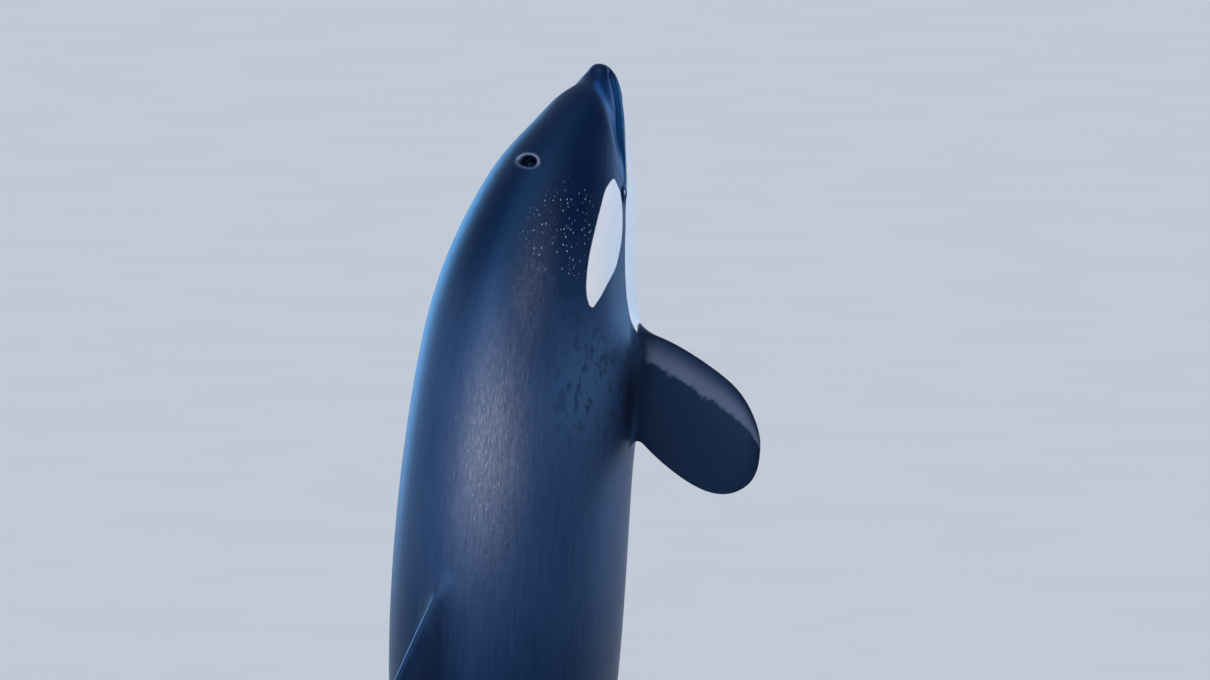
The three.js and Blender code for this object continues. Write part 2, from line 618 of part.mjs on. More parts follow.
const trimmer = solid(leanedGeometry(grownTorso).translate(...animal.position.toArray()));
function rod(side) {
  const axis = leaned(new THREE.Vector3(0, 0, ROD.reach - animal.position.z)).add(animal.position);
  const rise = ROD.reach - BASE.thickness;
  const foot = new THREE.Vector3(axis.x + side * rise * Math.tan(rad(ROD.tilt)), axis.y, BASE.thickness + GAP);
  const direction = axis.clone().sub(foot).normalize();
  const length = foot.distanceTo(axis) + ROD.foot;
  const bar = new THREE.CylinderGeometry(ROD.radius, ROD.radius, length, ROD_SIDES).rotateX(Math.PI / 2);
  bar.translate(0, 0, length / 2 - ROD.foot);
  const turn = new THREE.Quaternion().setFromUnitVectors(new THREE.Vector3(0, 0, 1), direction);
  const leaning = solid(bar.applyQuaternion(turn).translate(...foot.toArray()));
  const plate = new THREE.CylinderGeometry(ROD.foot, ROD.foot, ROD.footThickness, 40).rotateX(Math.PI / 2);
  const flange = solid(plate.translate(foot.x, foot.y, foot.z + ROD.footThickness / 2));
  const floor = solid(new THREE.BoxGeometry(LENGTH, LENGTH, 4 * ROD.foot).translate(0, 0, foot.z - 2 * ROD.foot));
  return geometryOf(largest(leaning.add(flange).subtract(floor).subtract(trimmer)));
}
addMesh(stand, 'stand_rod_front', rod(1), STEEL);
addMesh(stand, 'stand_rod_back', rod(-1), STEEL);

export default part;
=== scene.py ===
import bmesh
import bpy
import numpy as np
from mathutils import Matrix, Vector


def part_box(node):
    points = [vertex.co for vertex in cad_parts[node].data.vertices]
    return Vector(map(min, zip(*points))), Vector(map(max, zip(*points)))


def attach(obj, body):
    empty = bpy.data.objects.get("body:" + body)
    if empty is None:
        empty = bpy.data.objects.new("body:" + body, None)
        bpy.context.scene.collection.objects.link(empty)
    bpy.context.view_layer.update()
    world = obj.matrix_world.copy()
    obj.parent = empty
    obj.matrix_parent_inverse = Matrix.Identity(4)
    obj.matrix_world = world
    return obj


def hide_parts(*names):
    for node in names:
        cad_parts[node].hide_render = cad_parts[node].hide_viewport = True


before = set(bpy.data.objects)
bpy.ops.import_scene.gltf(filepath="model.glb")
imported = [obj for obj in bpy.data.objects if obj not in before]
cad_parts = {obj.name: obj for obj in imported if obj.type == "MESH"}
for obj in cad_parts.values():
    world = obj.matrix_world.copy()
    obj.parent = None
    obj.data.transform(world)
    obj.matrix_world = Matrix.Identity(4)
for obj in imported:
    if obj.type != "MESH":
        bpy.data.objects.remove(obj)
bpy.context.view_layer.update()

# Body, snout to fluke notch
LENGTH = 5.8
HEAD_END = 1.0
CHEST_END = 2.08
ABDOMEN_END = 3.9
STOCK_END = 5.72
GAP = 0.0003
# Distance from the snout, height of the back, depth of the belly, half width
STATIONS = np.array([
    [0.00, -0.115, -0.115, 0.000],
    [0.03, -0.065, -0.168, 0.057],
    [0.09, -0.013, -0.208, 0.094],
    [0.19, 0.081, -0.231, 0.147],
    [0.32, 0.183, -0.277, 0.203],
    [0.47, 0.283, -0.329, 0.269],
    [0.73, 0.400, -0.392, 0.340],
    [1.00, 0.468, -0.451, 0.400],
    [1.45, 0.515, -0.510, 0.448],
    [2.10, 0.545, -0.530, 0.472],
    [2.70, 0.530, -0.515, 0.462],
    [3.40, 0.465, -0.445, 0.388],
    [4.10, 0.360, -0.335, 0.275],
    [4.70, 0.262, -0.230, 0.175],
    [5.20, 0.152, -0.130, 0.108],
    [5.45, 0.076, -0.066, 0.074],
    [5.60, 0.036, -0.032, 0.050],
    [5.72, 0.012, -0.012, 0.024],
])
# Lean of the body from upright, in degrees, towards the belly and towards the right side
LEAN = np.array([
    [0.0, 12.2, 2.0],
    [0.5, 10.9, 10.0],
    [1.0, 8.5, 6.2],
    [1.6, 6.5, 2.5],
    [3.0, 3.0, 0.5],
    [4.5, -3.0, 0.0],
    [6.1, -8.0, 0.0],
])
LEAN_STEP = 0.02

# Level of the widest line of each section, which drops towards the snout
BODY_LEVEL = 0.010
SNOUT_DROP = 0.125
DROP_LENGTH = 0.34
DROP_POWER = 1.5
# Roundness of the sections, above and below the widest line; 2 is an ellipse
ROUNDNESS_AT = [0, 0.05, 0.2, 0.5, 0.75, 1]
ROUNDNESS_ABOVE = [2.1, 1.9, 2.0, 2.0, 1.8, 1.9]
ROUNDNESS_BELOW = [2.2, 2.3, 2.2, 2.1, 1.8, 1.9]

# Crease between the forehead and the upper lip: angle from the back, distance from the snout
CREASE_LINE = np.array([
    [0, 0.070], [40, 0.084], [72, 0.154], [88, 0.228], [95, 0.290], [100, 0.370], [103, 0.460],
])
CREASE_DEPTH = 0.021
CREASE_BEHIND = 0.044
CREASE_AHEAD = 0.058
CREASE_FADE = (0.47, 0.26)
CREASE_START = 0.05
CREASE_ABOVE_MOUTH = 0.2
ANGLE_STEP = 0.01
LEAST_RADIUS = 0.03
# Least number to divide by
TINY = 1e-6
# Swelling ahead of the flippers: where it is, how high, and how far it reaches
SHOULDER = {"at": 1.22, "angle": 122, "height": 0.052, "ahead": 0.15, "behind": 0.30, "around": 34}
# Line of the mouth: distance from the snout, angle from the back
MOUTH_LINE = np.array([
    [0, 120], [0.04, 117], [0.1, 116], [0.19, 114.5], [0.32, 109.2], [0.45, 104.6], [0.6, 104], [1.0, 106],
])
MOUTH_CORNER = 0.45
LIP_GROOVE = 0.008
LIP_GROOVE_WIDTH = 0.004
LIP_SWELL = 0.005
LIP_SWELL_WIDTH = 0.009
LIP_OFFSET = 0.014
LIP_START = 0.04
LIP_END = 0.06

# Eyes and lids, in the skin's own directions: along the body, across it, straight out
EYE_AT = 0.512
EYE_ANGLE = 98.3
EYE = {"length": 0.026, "height": 0.022, "depth": 0.015, "sunk": 0.009}
CORNEA = {"height": 0.05, "width": 0.45}
LIDS = {"length": 0.048, "height": 0.036, "rise": 0.009, "softness": 0.62, "reach": 1.6}
LID_OPENING = {"length": 0.0195, "height": 0.011}
# Rim round the opening and fold above it: height, distance outside the opening, width
LID_RIM = (0.0022, 0.0040, 0.0034)
LID_FOLD = (-0.0020, 0.0150, 0.0040)
SOCKET_DEPTH = 0.026
SOCKET_SLOPE = 0.0032
# Blowhole on the top of the head
BLOWHOLE_AT = 0.483
BLOWHOLE_ANGLE = 2
BLOWHOLE = {"length": 0.030, "width": 0.047, "depth": 0.036, "slope": 0.013, "scale": 0.034, "reach": 2.6}
BLOWHOLE_SHAPE = {"behind": 0.8, "round": 2.0, "flat": 2.5}
BLOWHOLE_RIM = {"low": 0.0036, "high": 0.0058, "outside": 0.0065, "width": 0.0062, "along": (0.01, -0.01)}
BLOWHOLE_PLUG = {"at": 0.004, "length": 0.019, "width": 0.026, "height": 0.020, "softness": 0.8}

# Each fin's outline: share of its height, and the distance of both edges behind its front root.
# Its tip draws in the front and the rear edge by shares of the chord; its seam is softened within a distance
DORSAL = {
    "at": 2.23, "root_middle": 2.65, "height": 0.73, "sunk": 0.012,
    "lead": [[-0.15, -0.13], [0, 0], [0.25, 0.215], [0.5, 0.44], [0.75, 0.665], [0.9, 0.815], [1, 0.93]],
    "trail": [[-0.15, 0.88], [0, 0.85], [0.12, 0.8], [0.3, 0.765], [0.5, 0.775], [0.7, 0.825],
              [0.88, 0.9], [1, 0.965]],
    "thickness": (0.112, 0.018), "bow": 0.0, "fillet_lift": 0.008, "sweep": 0, "tip": (0.35, 0.65),
    "seam": 0.05,
}
FLIPPER = {
    "at": 1.111, "root_middle": 1.3, "angle": 113, "height": 0.605, "sunk": 0.058,
    "lead": [[-0.2, -0.045], [0, -0.015], [0.2, 0.012], [0.4, 0.058], [0.6, 0.122], [0.8, 0.211],
             [0.9, 0.290], [0.96, 0.362], [1, 0.470]],
    "trail": [[-0.2, 0.395], [0, 0.425], [0.2, 0.52], [0.4, 0.61], [0.6, 0.672], [0.8, 0.682],
              [0.9, 0.652], [0.96, 0.612], [1, 0.510]],
    "thickness": (0.092, 0.020), "bow": 0.050, "fillet_lift": 0.034, "round_tip": True, "tip": (0, 0),
    "seam": 0.055,
}
FLUKES = {
    "at": 5.235, "height": 0.78,
    "lead": [[-0.15, 0], [0, 0], [0.12, 0.035], [0.3, 0.13], [0.5, 0.255], [0.7, 0.385], [0.85, 0.49],
             [0.95, 0.57], [1, 0.625]],
    "trail": [[-0.15, 0.565], [0, 0.565], [0.05, 0.6], [0.15, 0.638], [0.35, 0.648], [0.6, 0.632],
              [0.8, 0.626], [0.92, 0.64], [1, 0.66]],
    "thickness": (0.100, 0.016), "bow": 0.026, "fillet_lift": -0.014, "sweep": 0, "tip": (0.2, 0.8),
    "seam": 0.05,
}
# How far each flipper spreads outwards and towards the belly, and how far it sweeps back
FLIPPER_SPREAD = {"right": (-1, 0.93, 0.37, 0.0), "left": (1, 0.69, 0.72, 0.12)}
ROOT_FILLET = 0.070
FILLET_SHARE = 0.94
FRONT_FILLET = 0.5
REAR_FILLET = 0.7
REAR_EDGE = 0.06
TAPER = 0.8
TIP_THICKNESS = 0.12
ROOT_SHARE = -0.2

# The skin's grid: its spacing at some distances from the snout, and at some angles from the back
ROW_SPACING = np.array([
    [0, 0.0015], [0.03, 0.005], [0.1, 0.007], [0.4, 0.007], [0.44, 0.0034], [0.575, 0.0034],
    [0.64, 0.011], [1.0, 0.015], [1.55, 0.015], [1.95, 0.036], [3.0, 0.045], [4.9, 0.042],
    [5.3, 0.02], [5.72, 0.02],
])
COLUMN_SPACING = np.array([
    [0, 0.75], [12, 0.75], [18, 2.1], [86, 2.1], [90, 0.55], [116, 0.55], [121, 2.4], [180, 2.8],
])

# White and grey markings: distance from the snout and angle from the back
EYE_PATCH = [
    (0.465, 82), (0.488, 87.2), (0.512, 91.6), (0.551, 94.8), (0.596, 97), (0.65, 98), (0.713, 97),
    (0.767, 94.2), (0.836, 89.2), (0.917, 80), (0.995, 72.2), (1.034, 67.2), (1.01, 64), (0.95, 62),
    (0.872, 61.8), (0.788, 63), (0.716, 64.8), (0.62, 67.5), (0.575, 69), (0.524, 71.2), (0.494, 74.5),
    (0.474, 78),
]
THROAT_AND_BELLY = [
    (-0.05, 146), (0, 144), (0.04, 137), (0.09, 127), (0.14, 118.5), (0.18, 114.8), (0.25, 112.4),
    (0.32, 109.4), (0.40, 106.2), (0.458, 104.6), (0.50, 103.6), (0.54, 102.8), (0.60, 102.8),
    (0.665, 103.3), (0.752, 103), (0.842, 102.6), (0.908, 102.7), (0.974, 103.4), (1.02, 104.2),
    (1.064, 105), (1.107, 105.8), (1.15, 107), (1.195, 110), (1.215, 120), (1.28, 138), (1.42, 147),
    (1.7, 151), (2.1, 152), (2.5, 148), (2.75, 138), (2.95, 124), (3.15, 110), (3.4, 98), (3.68, 92),
    (3.92, 92), (3.98, 97), (3.86, 106), (3.66, 118), (3.5, 134), (3.52, 150), (3.75, 159), (4.05, 163),
    (4.25, 169), (4.32, 180), (4.2, 205), (2.5, 215), (1.0, 215), (0.2, 215), (-0.05, 200),
]
SADDLE = [
    (2.72, 36), (2.9, 50), (3.15, 58), (3.42, 56), (3.66, 44), (3.8, 24), (3.84, 0), (3.8, -24),
    (3.5, -24), (3.36, 0), (3.24, 14), (3.05, 24), (2.86, 29),
]
MARKING_REACH = 0.12
# How far the white and the saddle climb the fins' roots
WHITE_ON_FIN = 0.014
SADDLE_ON_FIN = 0.06
# Soft-edged zones of the back: centre and reach along the body, centre and reach round it in degrees. The
# first zone holds painted glints on water drops, the next two a painted sheen of reflected sky, and the last
# painted shade beside the flippers' roots.
# The upper sheen zone has a share of the full strength
GLINT_ZONE = (0.72, 0.17, -44, 24)
SKY_SHEEN_ZONE = (1.68, 0.42, -18, 15)
UPPER_SHEEN_ZONE = (1.02, 0.34, -27, 11)
UPPER_SHEEN = 0.30
MOTTLE_ZONE = (1.37, 0.26, -74, 24)
# Painted shade on the body beside the flippers' roots
ROOT_SHADE = (1.38, 0.23, 108, 15)
# Fades, each from nothing at its first number to full at its second, by the distance from the snout.
# The slate tone, a painted sheen of reflected sky, comes in down the body, and the hind body takes off a
# share of it
LOWER_BODY = (0.5, 1.55)
HIND_BODY = (1.7, 2.8)
HIND_SHADE = 0.6
# Painted blue reflection on the beak: distance behind the crease, and angle from the back in degrees
CREASE_REFLECTION = {"behind": 0.020, "width": 0.020, "top": (15, 45), "bottom": (110, 102)}
LIPS_REFLECTION = {"share": 0.50, "top": (45, 90), "bottom": (138, 126), "behind": (0.03, 0.01),
             "snout": (0.02, 0.10)}
REFLECTION_END = (0.54, 0.38)
# Painted highlight as a pale ring round the blowhole, and painted shade as black inside it
RIM_HIGHLIGHT_RING = {"along": (0.015, -0.005), "least": 0.4, "outside": 0.004, "width": 0.0055}
PIT_FADE = (0, -0.007)
# White under the flukes: margins from the edges, the tip and the root, and from the upper face
FLUKE_WHITE = {"start": 5.15, "least_share": -0.02, "front": 0.035, "rear": 0.050, "tip": 0.07,
               "root": 0.03, "root_slope": 0.8, "upper": 0.012, "upper_slope": 4}
# Painted highlight band on the flippers, by share of the chord and of the height, and height over the blade
# and the body; the dark share is painted shade over the flippers
FLIPPER_HIGHLIGHT_AND_SHADE = {"from": 1, "to": 2, "chord": (0.01, 0.21), "over": (-0.004, 0.006), "share": (0, 0.12),
                "above": (0.02, 0.05), "face": (0.10, 0.42), "dark": (-0.02, 0.08), "least_chord": 0.01}

# Layout of the UV map: the body's rectangle, and the squares of the fins' faces
BODY_MAP = {"left": 0.01, "width": 0.56, "top": 0.99, "height": 0.98, "power": 0.75}
FIN_MAP = {"left": 0.60, "column": 0.20, "bottom": 0.01, "row": 0.198, "size": 0.18, "chord": 1.1,
           "start": 0.1, "over": 0.03, "least_share": 0.01, "middle": 0.45, "reach": 0.85}

# Display stand
BASE = {"radius": 1.05, "thickness": 0.06, "edge": 0.014, "turns": 224}
ROD = {"radius": 0.042, "reach": 1.18, "tilt": 24, "sunk": 0.02, "start": 0.01, "rings": 24, "turns": 64}
FOOT = {"radius": 0.105, "thickness": 0.018, "edge": 0.004, "corners": 5, "turns": 96}
# Rubber sleeve: places down from the rod's end, and how far it stands out at each
SLEEVE_PLACES = -0.10 + 0.012 * np.array([0, 0.6, 1.2, 4, 6, 7])
SLEEVE_PROUD = np.array([0.0005, 0.006, 0.008, 0.008, 0.007, 0.001])
BOLT = {"count": 6, "first": 30, "circle": 0.083, "gap": 0.0002, "top": 0.0098, "turns": 24,
        "profile": [[0.006, 0], [0.011, 0], [0.011, 0.005], [0.009, 0.008], [0.004, 0.0095]]}

# The view: photo width in pixels and the snout's place in it, what one of its pixels measures there
PHOTO_SIZE = (1210, 680)
SNOUT_PIXEL = (601, 63.6)
PIXEL = 0.00425
CAMERA = {"azimuth": -59, "elevation": 5, "distance": 60, "sensor": 36, "clip": 2000}


# Plain numbers

def mix(a, b, t):
    return a + (b - a) * t


def ease(t):
    """Smooth step from 0 to 1: t squared times (3 - 2 t)."""
    t = np.clip(t, 0, 1)
    return t * t * (3 - 2 * t)


def rise(x, start, end):
    """Eased step from 0 at the start to 1 at the end, which may also be the lower number."""
    return ease((x - start) / (end - start))


def bell(x, width):
    return np.exp(-(x / width) ** 2)


def unit(v):
    return v / np.linalg.norm(v, axis=-1, keepdims=True)


def full_turn(count):
    """Equal angles round a circle."""
    return np.linspace(0, 2 * np.pi, count, endpoint=False)


def spline(xs, ys):
    """Natural cubic spline: its bends solve a tridiagonal system, and each stretch is a cubic."""
    xs, ys = np.asarray(xs, float), np.asarray(ys, float)
    n = len(xs)
    step = np.diff(xs)
    system = np.eye(n)
    load = np.zeros(n)
    inner = np.arange(1, n - 1)
    system[inner, inner - 1] = step[:-1]
    system[inner, inner] = 2 * (step[:-1] + step[1:])
    system[inner, inner + 1] = step[1:]
    load[inner] = 6 * np.diff(np.diff(ys) / step)
    bend = np.linalg.solve(system, load)

    def line(x):
        x = np.asarray(x, float)
        i = np.clip(np.searchsorted(xs, x) - 1, 0, n - 2)
        a, b, h = xs[i + 1] - x, x - xs[i], step[i]
        cubic = (bend[i] * a**3 + bend[i + 1] * b**3) / (6 * h)
        return cubic + (ys[i] / h - bend[i] * h / 6) * a + (ys[i + 1] / h - bend[i + 1] * h / 6) * b

    return line


SPREAD_SAMPLES = 4001


def spread(spacing, start, end):
    """Places from start to end whose spacing follows a table: equal steps of the summed 1 / spacing."""
    fine = np.linspace(start, end, SPREAD_SAMPLES)
    density = 1 / np.interp(fine, spacing[:, 0], spacing[:, 1])
    count = np.concatenate([[0], np.cumsum((density[1:] + density[:-1]) / 2 * np.diff(fine))])
    steps = int(round(count[-1]))
    return np.interp(np.linspace(0, count[-1], steps + 1), count, fine)


# Shape of the straight body

station_roots = np.sqrt(STATIONS[:, 0] / LENGTH)
back_root, belly_root, width_root = (spline(station_roots, STATIONS[:, k]) for k in (1, 2, 3))
crease_line = spline(np.radians(CREASE_LINE[:, 0]), CREASE_LINE[:, 1])
mouth_line = spline(MOUTH_LINE[:, 0], np.radians(MOUTH_LINE[:, 1]))


def root_scale(s):
    """The body's lines are splines over the square root of the distance, so the snout is round."""
    return np.sqrt(np.maximum(s, 0) / LENGTH)


def level(s):
    return BODY_LEVEL - SNOUT_DROP * np.exp(-(np.maximum(s, 0) / DROP_LENGTH) ** DROP_POWER)


def section_radius(s, angle):
    """Superellipse section: its radius from the widest level at an angle from the back."""
    cosine = np.cos(angle)
    above = cosine > 0
    roundness = np.where(above, np.interp(s / LENGTH, ROUNDNESS_AT, ROUNDNESS_ABOVE),
                         np.interp(s / LENGTH, ROUNDNESS_AT, ROUNDNESS_BELOW))
    root = root_scale(s)
    height = np.where(above, back_root(root) - level(s), level(s) - belly_root(root))
    up = np.abs(cosine) / np.maximum(height, TINY)
    across = np.abs(np.sin(angle)) / np.maximum(width_root(root), TINY)
    return (up**roundness + across**roundness) ** (-1 / roundness)


def crease_distance(s, angle, radius):
    """Distance behind the crease's line, measured across it."""
    last = np.radians(CREASE_LINE[-1, 0])
    line = crease_line(np.minimum(angle, last))
    slope = (crease_line(np.minimum(angle + ANGLE_STEP, last)) - line) / ANGLE_STEP
    return (s - line) / np.hypot(1, slope / np.maximum(radius, LEAST_RADIUS))


def crease_depth(s, angle, radius):
    """Groove round the front of the forehead: a bell across its line, faded out above the mouth corner."""
    distance = crease_distance(s, angle, radius)
    width = np.where(distance > 0, CREASE_BEHIND, CREASE_AHEAD)
    above = rise(angle - mouth_line(s), 0, -CREASE_ABOVE_MOUTH)
    fade = rise(s, *CREASE_FADE) * above * rise(s, 0, CREASE_START)
    return CREASE_DEPTH * fade * bell(distance, width)


def lip_height(s, angle, radius):
    """Lips: a bell on both sides of the mouth line, and the line's narrow groove between them."""
    distance = np.abs(angle - mouth_line(s)) * np.maximum(radius, LEAST_RADIUS)
    along = rise(s, 0, LIP_START) * rise(s, MOUTH_CORNER + LIP_END, MOUTH_CORNER)
    return along * (LIP_SWELL * bell(distance - LIP_OFFSET, LIP_SWELL_WIDTH)
                    - LIP_GROOVE * bell(distance, LIP_GROOVE_WIDTH))


def shoulder_height(s, angle):
    """Swelling ahead of each flipper: a bell along the body and round it."""
    along = s - SHOULDER["at"]
    reach = np.where(along < 0, SHOULDER["ahead"], SHOULDER["behind"])
    around = np.degrees(angle) - SHOULDER["angle"]
    return SHOULDER["height"] * bell(along, reach) * bell(around, SHOULDER["around"])


def plain_radius(s, angle):
    """Radius of the body as the solids have it, without lids and blowhole."""
    side = np.abs(angle)
    side = np.where(side > np.pi, 2 * np.pi - side, side)
    radius = section_radius(s, side)
    face = lip_height(s, side, radius) - crease_depth(s, side, radius)
    return radius + shoulder_height(s, side) + np.where(s < HEAD_END, face, 0)


def lid_height(s, angle, radius):
    """Eyelids: a low mound, a rim round the almond opening, a fold above it, and the socket inside."""
    along = s - EYE_AT
    across = (np.abs(angle) - np.radians(EYE_ANGLE)) * radius
    reach = np.hypot(along / LIDS["length"], across / LIDS["height"])
    length, height = LID_OPENING["length"], LID_OPENING["height"]
    edge = np.abs(across) - height * (1 - (along / length) ** 2)
    edge = edge / np.hypot(1, 2 * height * along / length**2)
    rim, fold = (size * bell(edge - outside, width) for size, outside, width in (LID_RIM, LID_FOLD))
    socket = SOCKET_DEPTH * rise(edge, 0, -SOCKET_SLOPE)
    lids = LIDS["rise"] * bell(reach, LIDS["softness"]) + rim + fold * (across < 0) - socket
    return np.where(reach < LIDS["reach"], lids, 0)


def blowhole_height(s, angle, radius):
    """Blowhole: a half-moon pit, arched towards the snout, with a raised rim and a plug inside."""
    along = s - BLOWHOLE_AT
    across = (angle - np.radians(BLOWHOLE_ANGLE)) * radius
    edge, reach = blowhole_edge(s, angle, radius)
    pit = BLOWHOLE["depth"] * rise(edge, 0, -BLOWHOLE["slope"])
    lip, plug = BLOWHOLE_RIM, BLOWHOLE_PLUG
    rim = mix(lip["low"], lip["high"], rise(along, *lip["along"])) * bell(edge - lip["outside"], lip["width"])
    plug_reach = np.hypot((along - plug["at"]) / plug["length"], across / plug["width"])
    inner = np.where(reach < 1, plug["height"] * bell(plug_reach, plug["softness"]), 0)
    return np.where(reach < BLOWHOLE["reach"], rim + inner - pit, 0)


def blowhole_edge(s, angle, radius):
    """Distance outside the half-moon outline of the blowhole, and a share of it, 1 on the outline."""
    along = s - BLOWHOLE_AT
    shape = BLOWHOLE_SHAPE
    length = np.where(along < 0, 1, shape["behind"]) * BLOWHOLE["length"]
    power = np.where(along < 0, shape["round"], shape["flat"])
    across = np.abs(angle - np.radians(BLOWHOLE_ANGLE)) * radius / BLOWHOLE["width"]
    reach = (np.abs(along / length) ** power + across**power) ** (1 / power)
    return (reach - 1) * BLOWHOLE["scale"], reach


def straight_point(s, angle, radius):
    """Point of the straight body: depth towards the belly, width, and minus the distance."""
    return np.stack([-level(s) - radius * np.cos(angle), radius * np.sin(angle), -s + 0 * angle], -1)


# Lean of the whole body

lean_belly = spline(LEAN[:, 0], np.radians(LEAN[:, 1]))
lean_right = spline(LEAN[:, 0], np.radians(LEAN[:, 2]))


def axis_directions(s):
    """Forward leans by both angles; left is square to it and to the back; belly is square to both."""
    belly_lean, right_lean = lean_belly(s), lean_right(s)
    forward = unit(np.stack([np.sin(belly_lean), -np.tan(right_lean), np.cos(belly_lean)], -1))
    back = np.stack([-np.cos(belly_lean), 0 * belly_lean, np.sin(belly_lean)], -1)
    left = unit(np.cross(back, forward))
    return forward, left, np.cross(left, forward)


axis_steps = np.arange(0, LEAN[-1, 0] + LEAN_STEP / 2, LEAN_STEP)
axis_points = np.zeros((len(axis_steps), 3))
axis_points[1:] = -LEAN_STEP * np.cumsum(axis_directions(axis_steps[1:] - LEAN_STEP / 2)[0], axis=0)


def leaned(points):
    """A straight point carried to the leaning axis at its own distance, with its width and depth kept."""
    points = np.asarray(points, float)
    s = -points[..., 2]
    centre = np.stack([np.interp(s, axis_steps, axis_points[:, k]) for k in range(3)], -1)
    forward, left, belly = axis_directions(np.clip(s, 0, LEAN[-1, 0]))
    return (centre + forward * np.maximum(-s, 0)[..., None] + left * points[..., 1:2]
            + belly * points[..., 0:1])


# The animal stands where the abdomen of the solids stands
ABDOMEN_RINGS = 11
ABDOMEN_TURN = 7.5
abdomen_s, abdomen_angle = np.meshgrid(
    np.linspace(CHEST_END, ABDOMEN_END - GAP, ABDOMEN_RINGS), np.radians(np.arange(0, 360, ABDOMEN_TURN)),
    indexing="ij")
abdomen_rings = leaned(straight_point(abdomen_s, abdomen_angle, plain_radius(abdomen_s, abdomen_angle)))
ANIMAL_PLACE = np.array(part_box("abdomen")[0]) - abdomen_rings.reshape(-1, 3).min(0)


def placed(points):
    return leaned(points) + ANIMAL_PLACE


def add_object(name, data, facing=None):
    """An object of the scene; a camera or light with a facing looks the other way."""
    item = bpy.data.objects.new(name, data)
    if facing is not None:
        item.rotation_euler = Vector(facing).to_track_quat("Z", "Y").to_euler()
    bpy.context.scene.collection.objects.link(item)
    return item


# Camera at the photo's angle, which looks at the middle of its frame

def towards(side, height):
    """Unit vector to a place so many degrees round from the camera and so many up."""
    turn, up = np.radians(CAMERA["azimuth"] + side), np.radians(height)
    return np.array([np.sin(turn) * np.cos(up), -np.cos(turn) * np.cos(up), np.sin(up)])


TOWARDS_CAMERA = towards(0, CAMERA["elevation"])
CAMERA_RIGHT = towards(90, 0)
CAMERA_UP = np.cross(TOWARDS_CAMERA, CAMERA_RIGHT)
SNOUT = placed(np.array([-level(0), 0, 0]))


def add_camera():
    off_middle = np.array(SNOUT_PIXEL) - np.array(PHOTO_SIZE) / 2
    aim = SNOUT - CAMERA_RIGHT * off_middle[0] * PIXEL + CAMERA_UP * off_middle[1] * PIXEL
    data = bpy.data.cameras.new("camera")
    data.sensor_width = CAMERA["sensor"]
    data.lens = CAMERA["sensor"] * CAMERA["distance"] / (PHOTO_SIZE[0] * PIXEL)
    data.clip_end = CAMERA["clip"]
    camera = add_object("camera", data, TOWARDS_CAMERA)
    camera.location = aim + TOWARDS_CAMERA * CAMERA["distance"]
    bpy.context.scene.camera = camera


# Meshes from arrays

def new_piece(name, points, faces, smooth=True):
    """A mesh object at the origin from an array of points and lists of faces."""
    mesh = bpy.data.meshes.new(name)
    mesh.from_pydata(np.asarray(points, float).tolist(), [], [list(f) for f in faces])
    mesh.validate()
    mesh.shade_smooth() if smooth else mesh.shade_flat()
    return add_object(name, mesh)


def loft_faces(rows, columns):
    """Quads between neighbouring rings of a closed grid, and a fan of triangles at either end."""
    i, j = np.meshgrid(np.arange(rows - 1), np.arange(columns), indexing="ij")
    a, b = i * columns + j, i * columns + (j + 1) % columns
    quads = np.stack([a, b, b + columns, a + columns], -1).reshape(-1, 4)
    j = np.arange(columns)
    beside, end = (j + 1) % columns, (rows - 1) * columns
    first, last = rows * columns, rows * columns + 1
    near = np.stack([np.full(columns, first), beside, j], -1)
    far = np.stack([np.full(columns, last), end + j, end + beside], -1)
    return quads.tolist() + near.tolist() + far.tolist()


def loft(name, rings, first=None, last=None):
    """Closed surface through rings of equal count, each end drawn to a point, with its faces outwards."""
    rows, columns = rings.shape[:2]
    first = rings[0].mean(0) if first is None else first
    last = rings[-1].mean(0) if last is None else last
    beside = np.roll(rings, -1, axis=1)
    area = np.cross(beside[1:] - rings[:-1], rings[1:] - beside[:-1])
    middles = (rings[1:] + rings[:-1]) / 2
    outwards = (area * (middles - middles.mean(1, keepdims=True))).sum()
    faces = loft_faces(rows, columns)
    if outwards < 0:
        faces = [f[::-1] for f in faces]
    return new_piece(name, np.concatenate([rings.reshape(-1, 3), [first, last]]), faces)


def lathe(profile, turns):
    """Rings of a profile of (radius, height) points turned about +Z."""
    turn = full_turn(turns)
    radius, height = np.asarray(profile, float).T[:, :, None]
    return np.stack([radius * np.cos(turn), radius * np.sin(turn), height + 0 * turn], -1)


# Skin of the straight body

def body_surface():
    """Grid of distance and angle: plain radius plus lids and blowhole, drawn to a point at the snout."""
    rows = spread(ROW_SPACING, 0, STOCK_END)[1:]
    side = np.radians(spread(COLUMN_SPACING, 0, 180))
    columns = np.concatenate([side, 2 * np.pi - side[-2:0:-1]])
    s, turn = np.meshgrid(rows, columns, indexing="ij")
    angle = np.where(turn > np.pi, turn - 2 * np.pi, turn)
    radius = plain_radius(s, angle)
    radius = radius + lid_height(s, angle, radius) + blowhole_height(s, angle, radius)
    snout = np.array([-level(0), 0, 0])
    return loft("body", straight_point(s, angle, radius), first=snout)


CHORD_STEPS = 26
ROOT_DEPTH = -0.09
ROOT_TOP = 0.11
ROOT_STEPS = 14
FIN_STEPS = 34
TIP_ROUNDING = 0.10


def foil(x):
    """Aerofoil: share of the half thickness at a share of the chord, with a blunt rear edge."""
    curve = 0.2969 * np.sqrt(x) - 0.126 * x - 0.3516 * x**2 + 0.2843 * x**3 - 0.1036 * x**4
    return 10 * curve + REAR_EDGE * x


def fillet_at(height):
    """How far a round fillet stands out at a height over the skin."""
    t = np.clip(1 - height / ROOT_FILLET, 0, FILLET_SHARE)
    return ROOT_FILLET * (1 - np.sqrt(1 - t * t))


def fin_axes(fin):
    span = np.array(fin["span"], float)
    tail = np.array([0, 0, -1.0])
    return span, tail, unit(np.cross(span, tail)) * fin["side"]


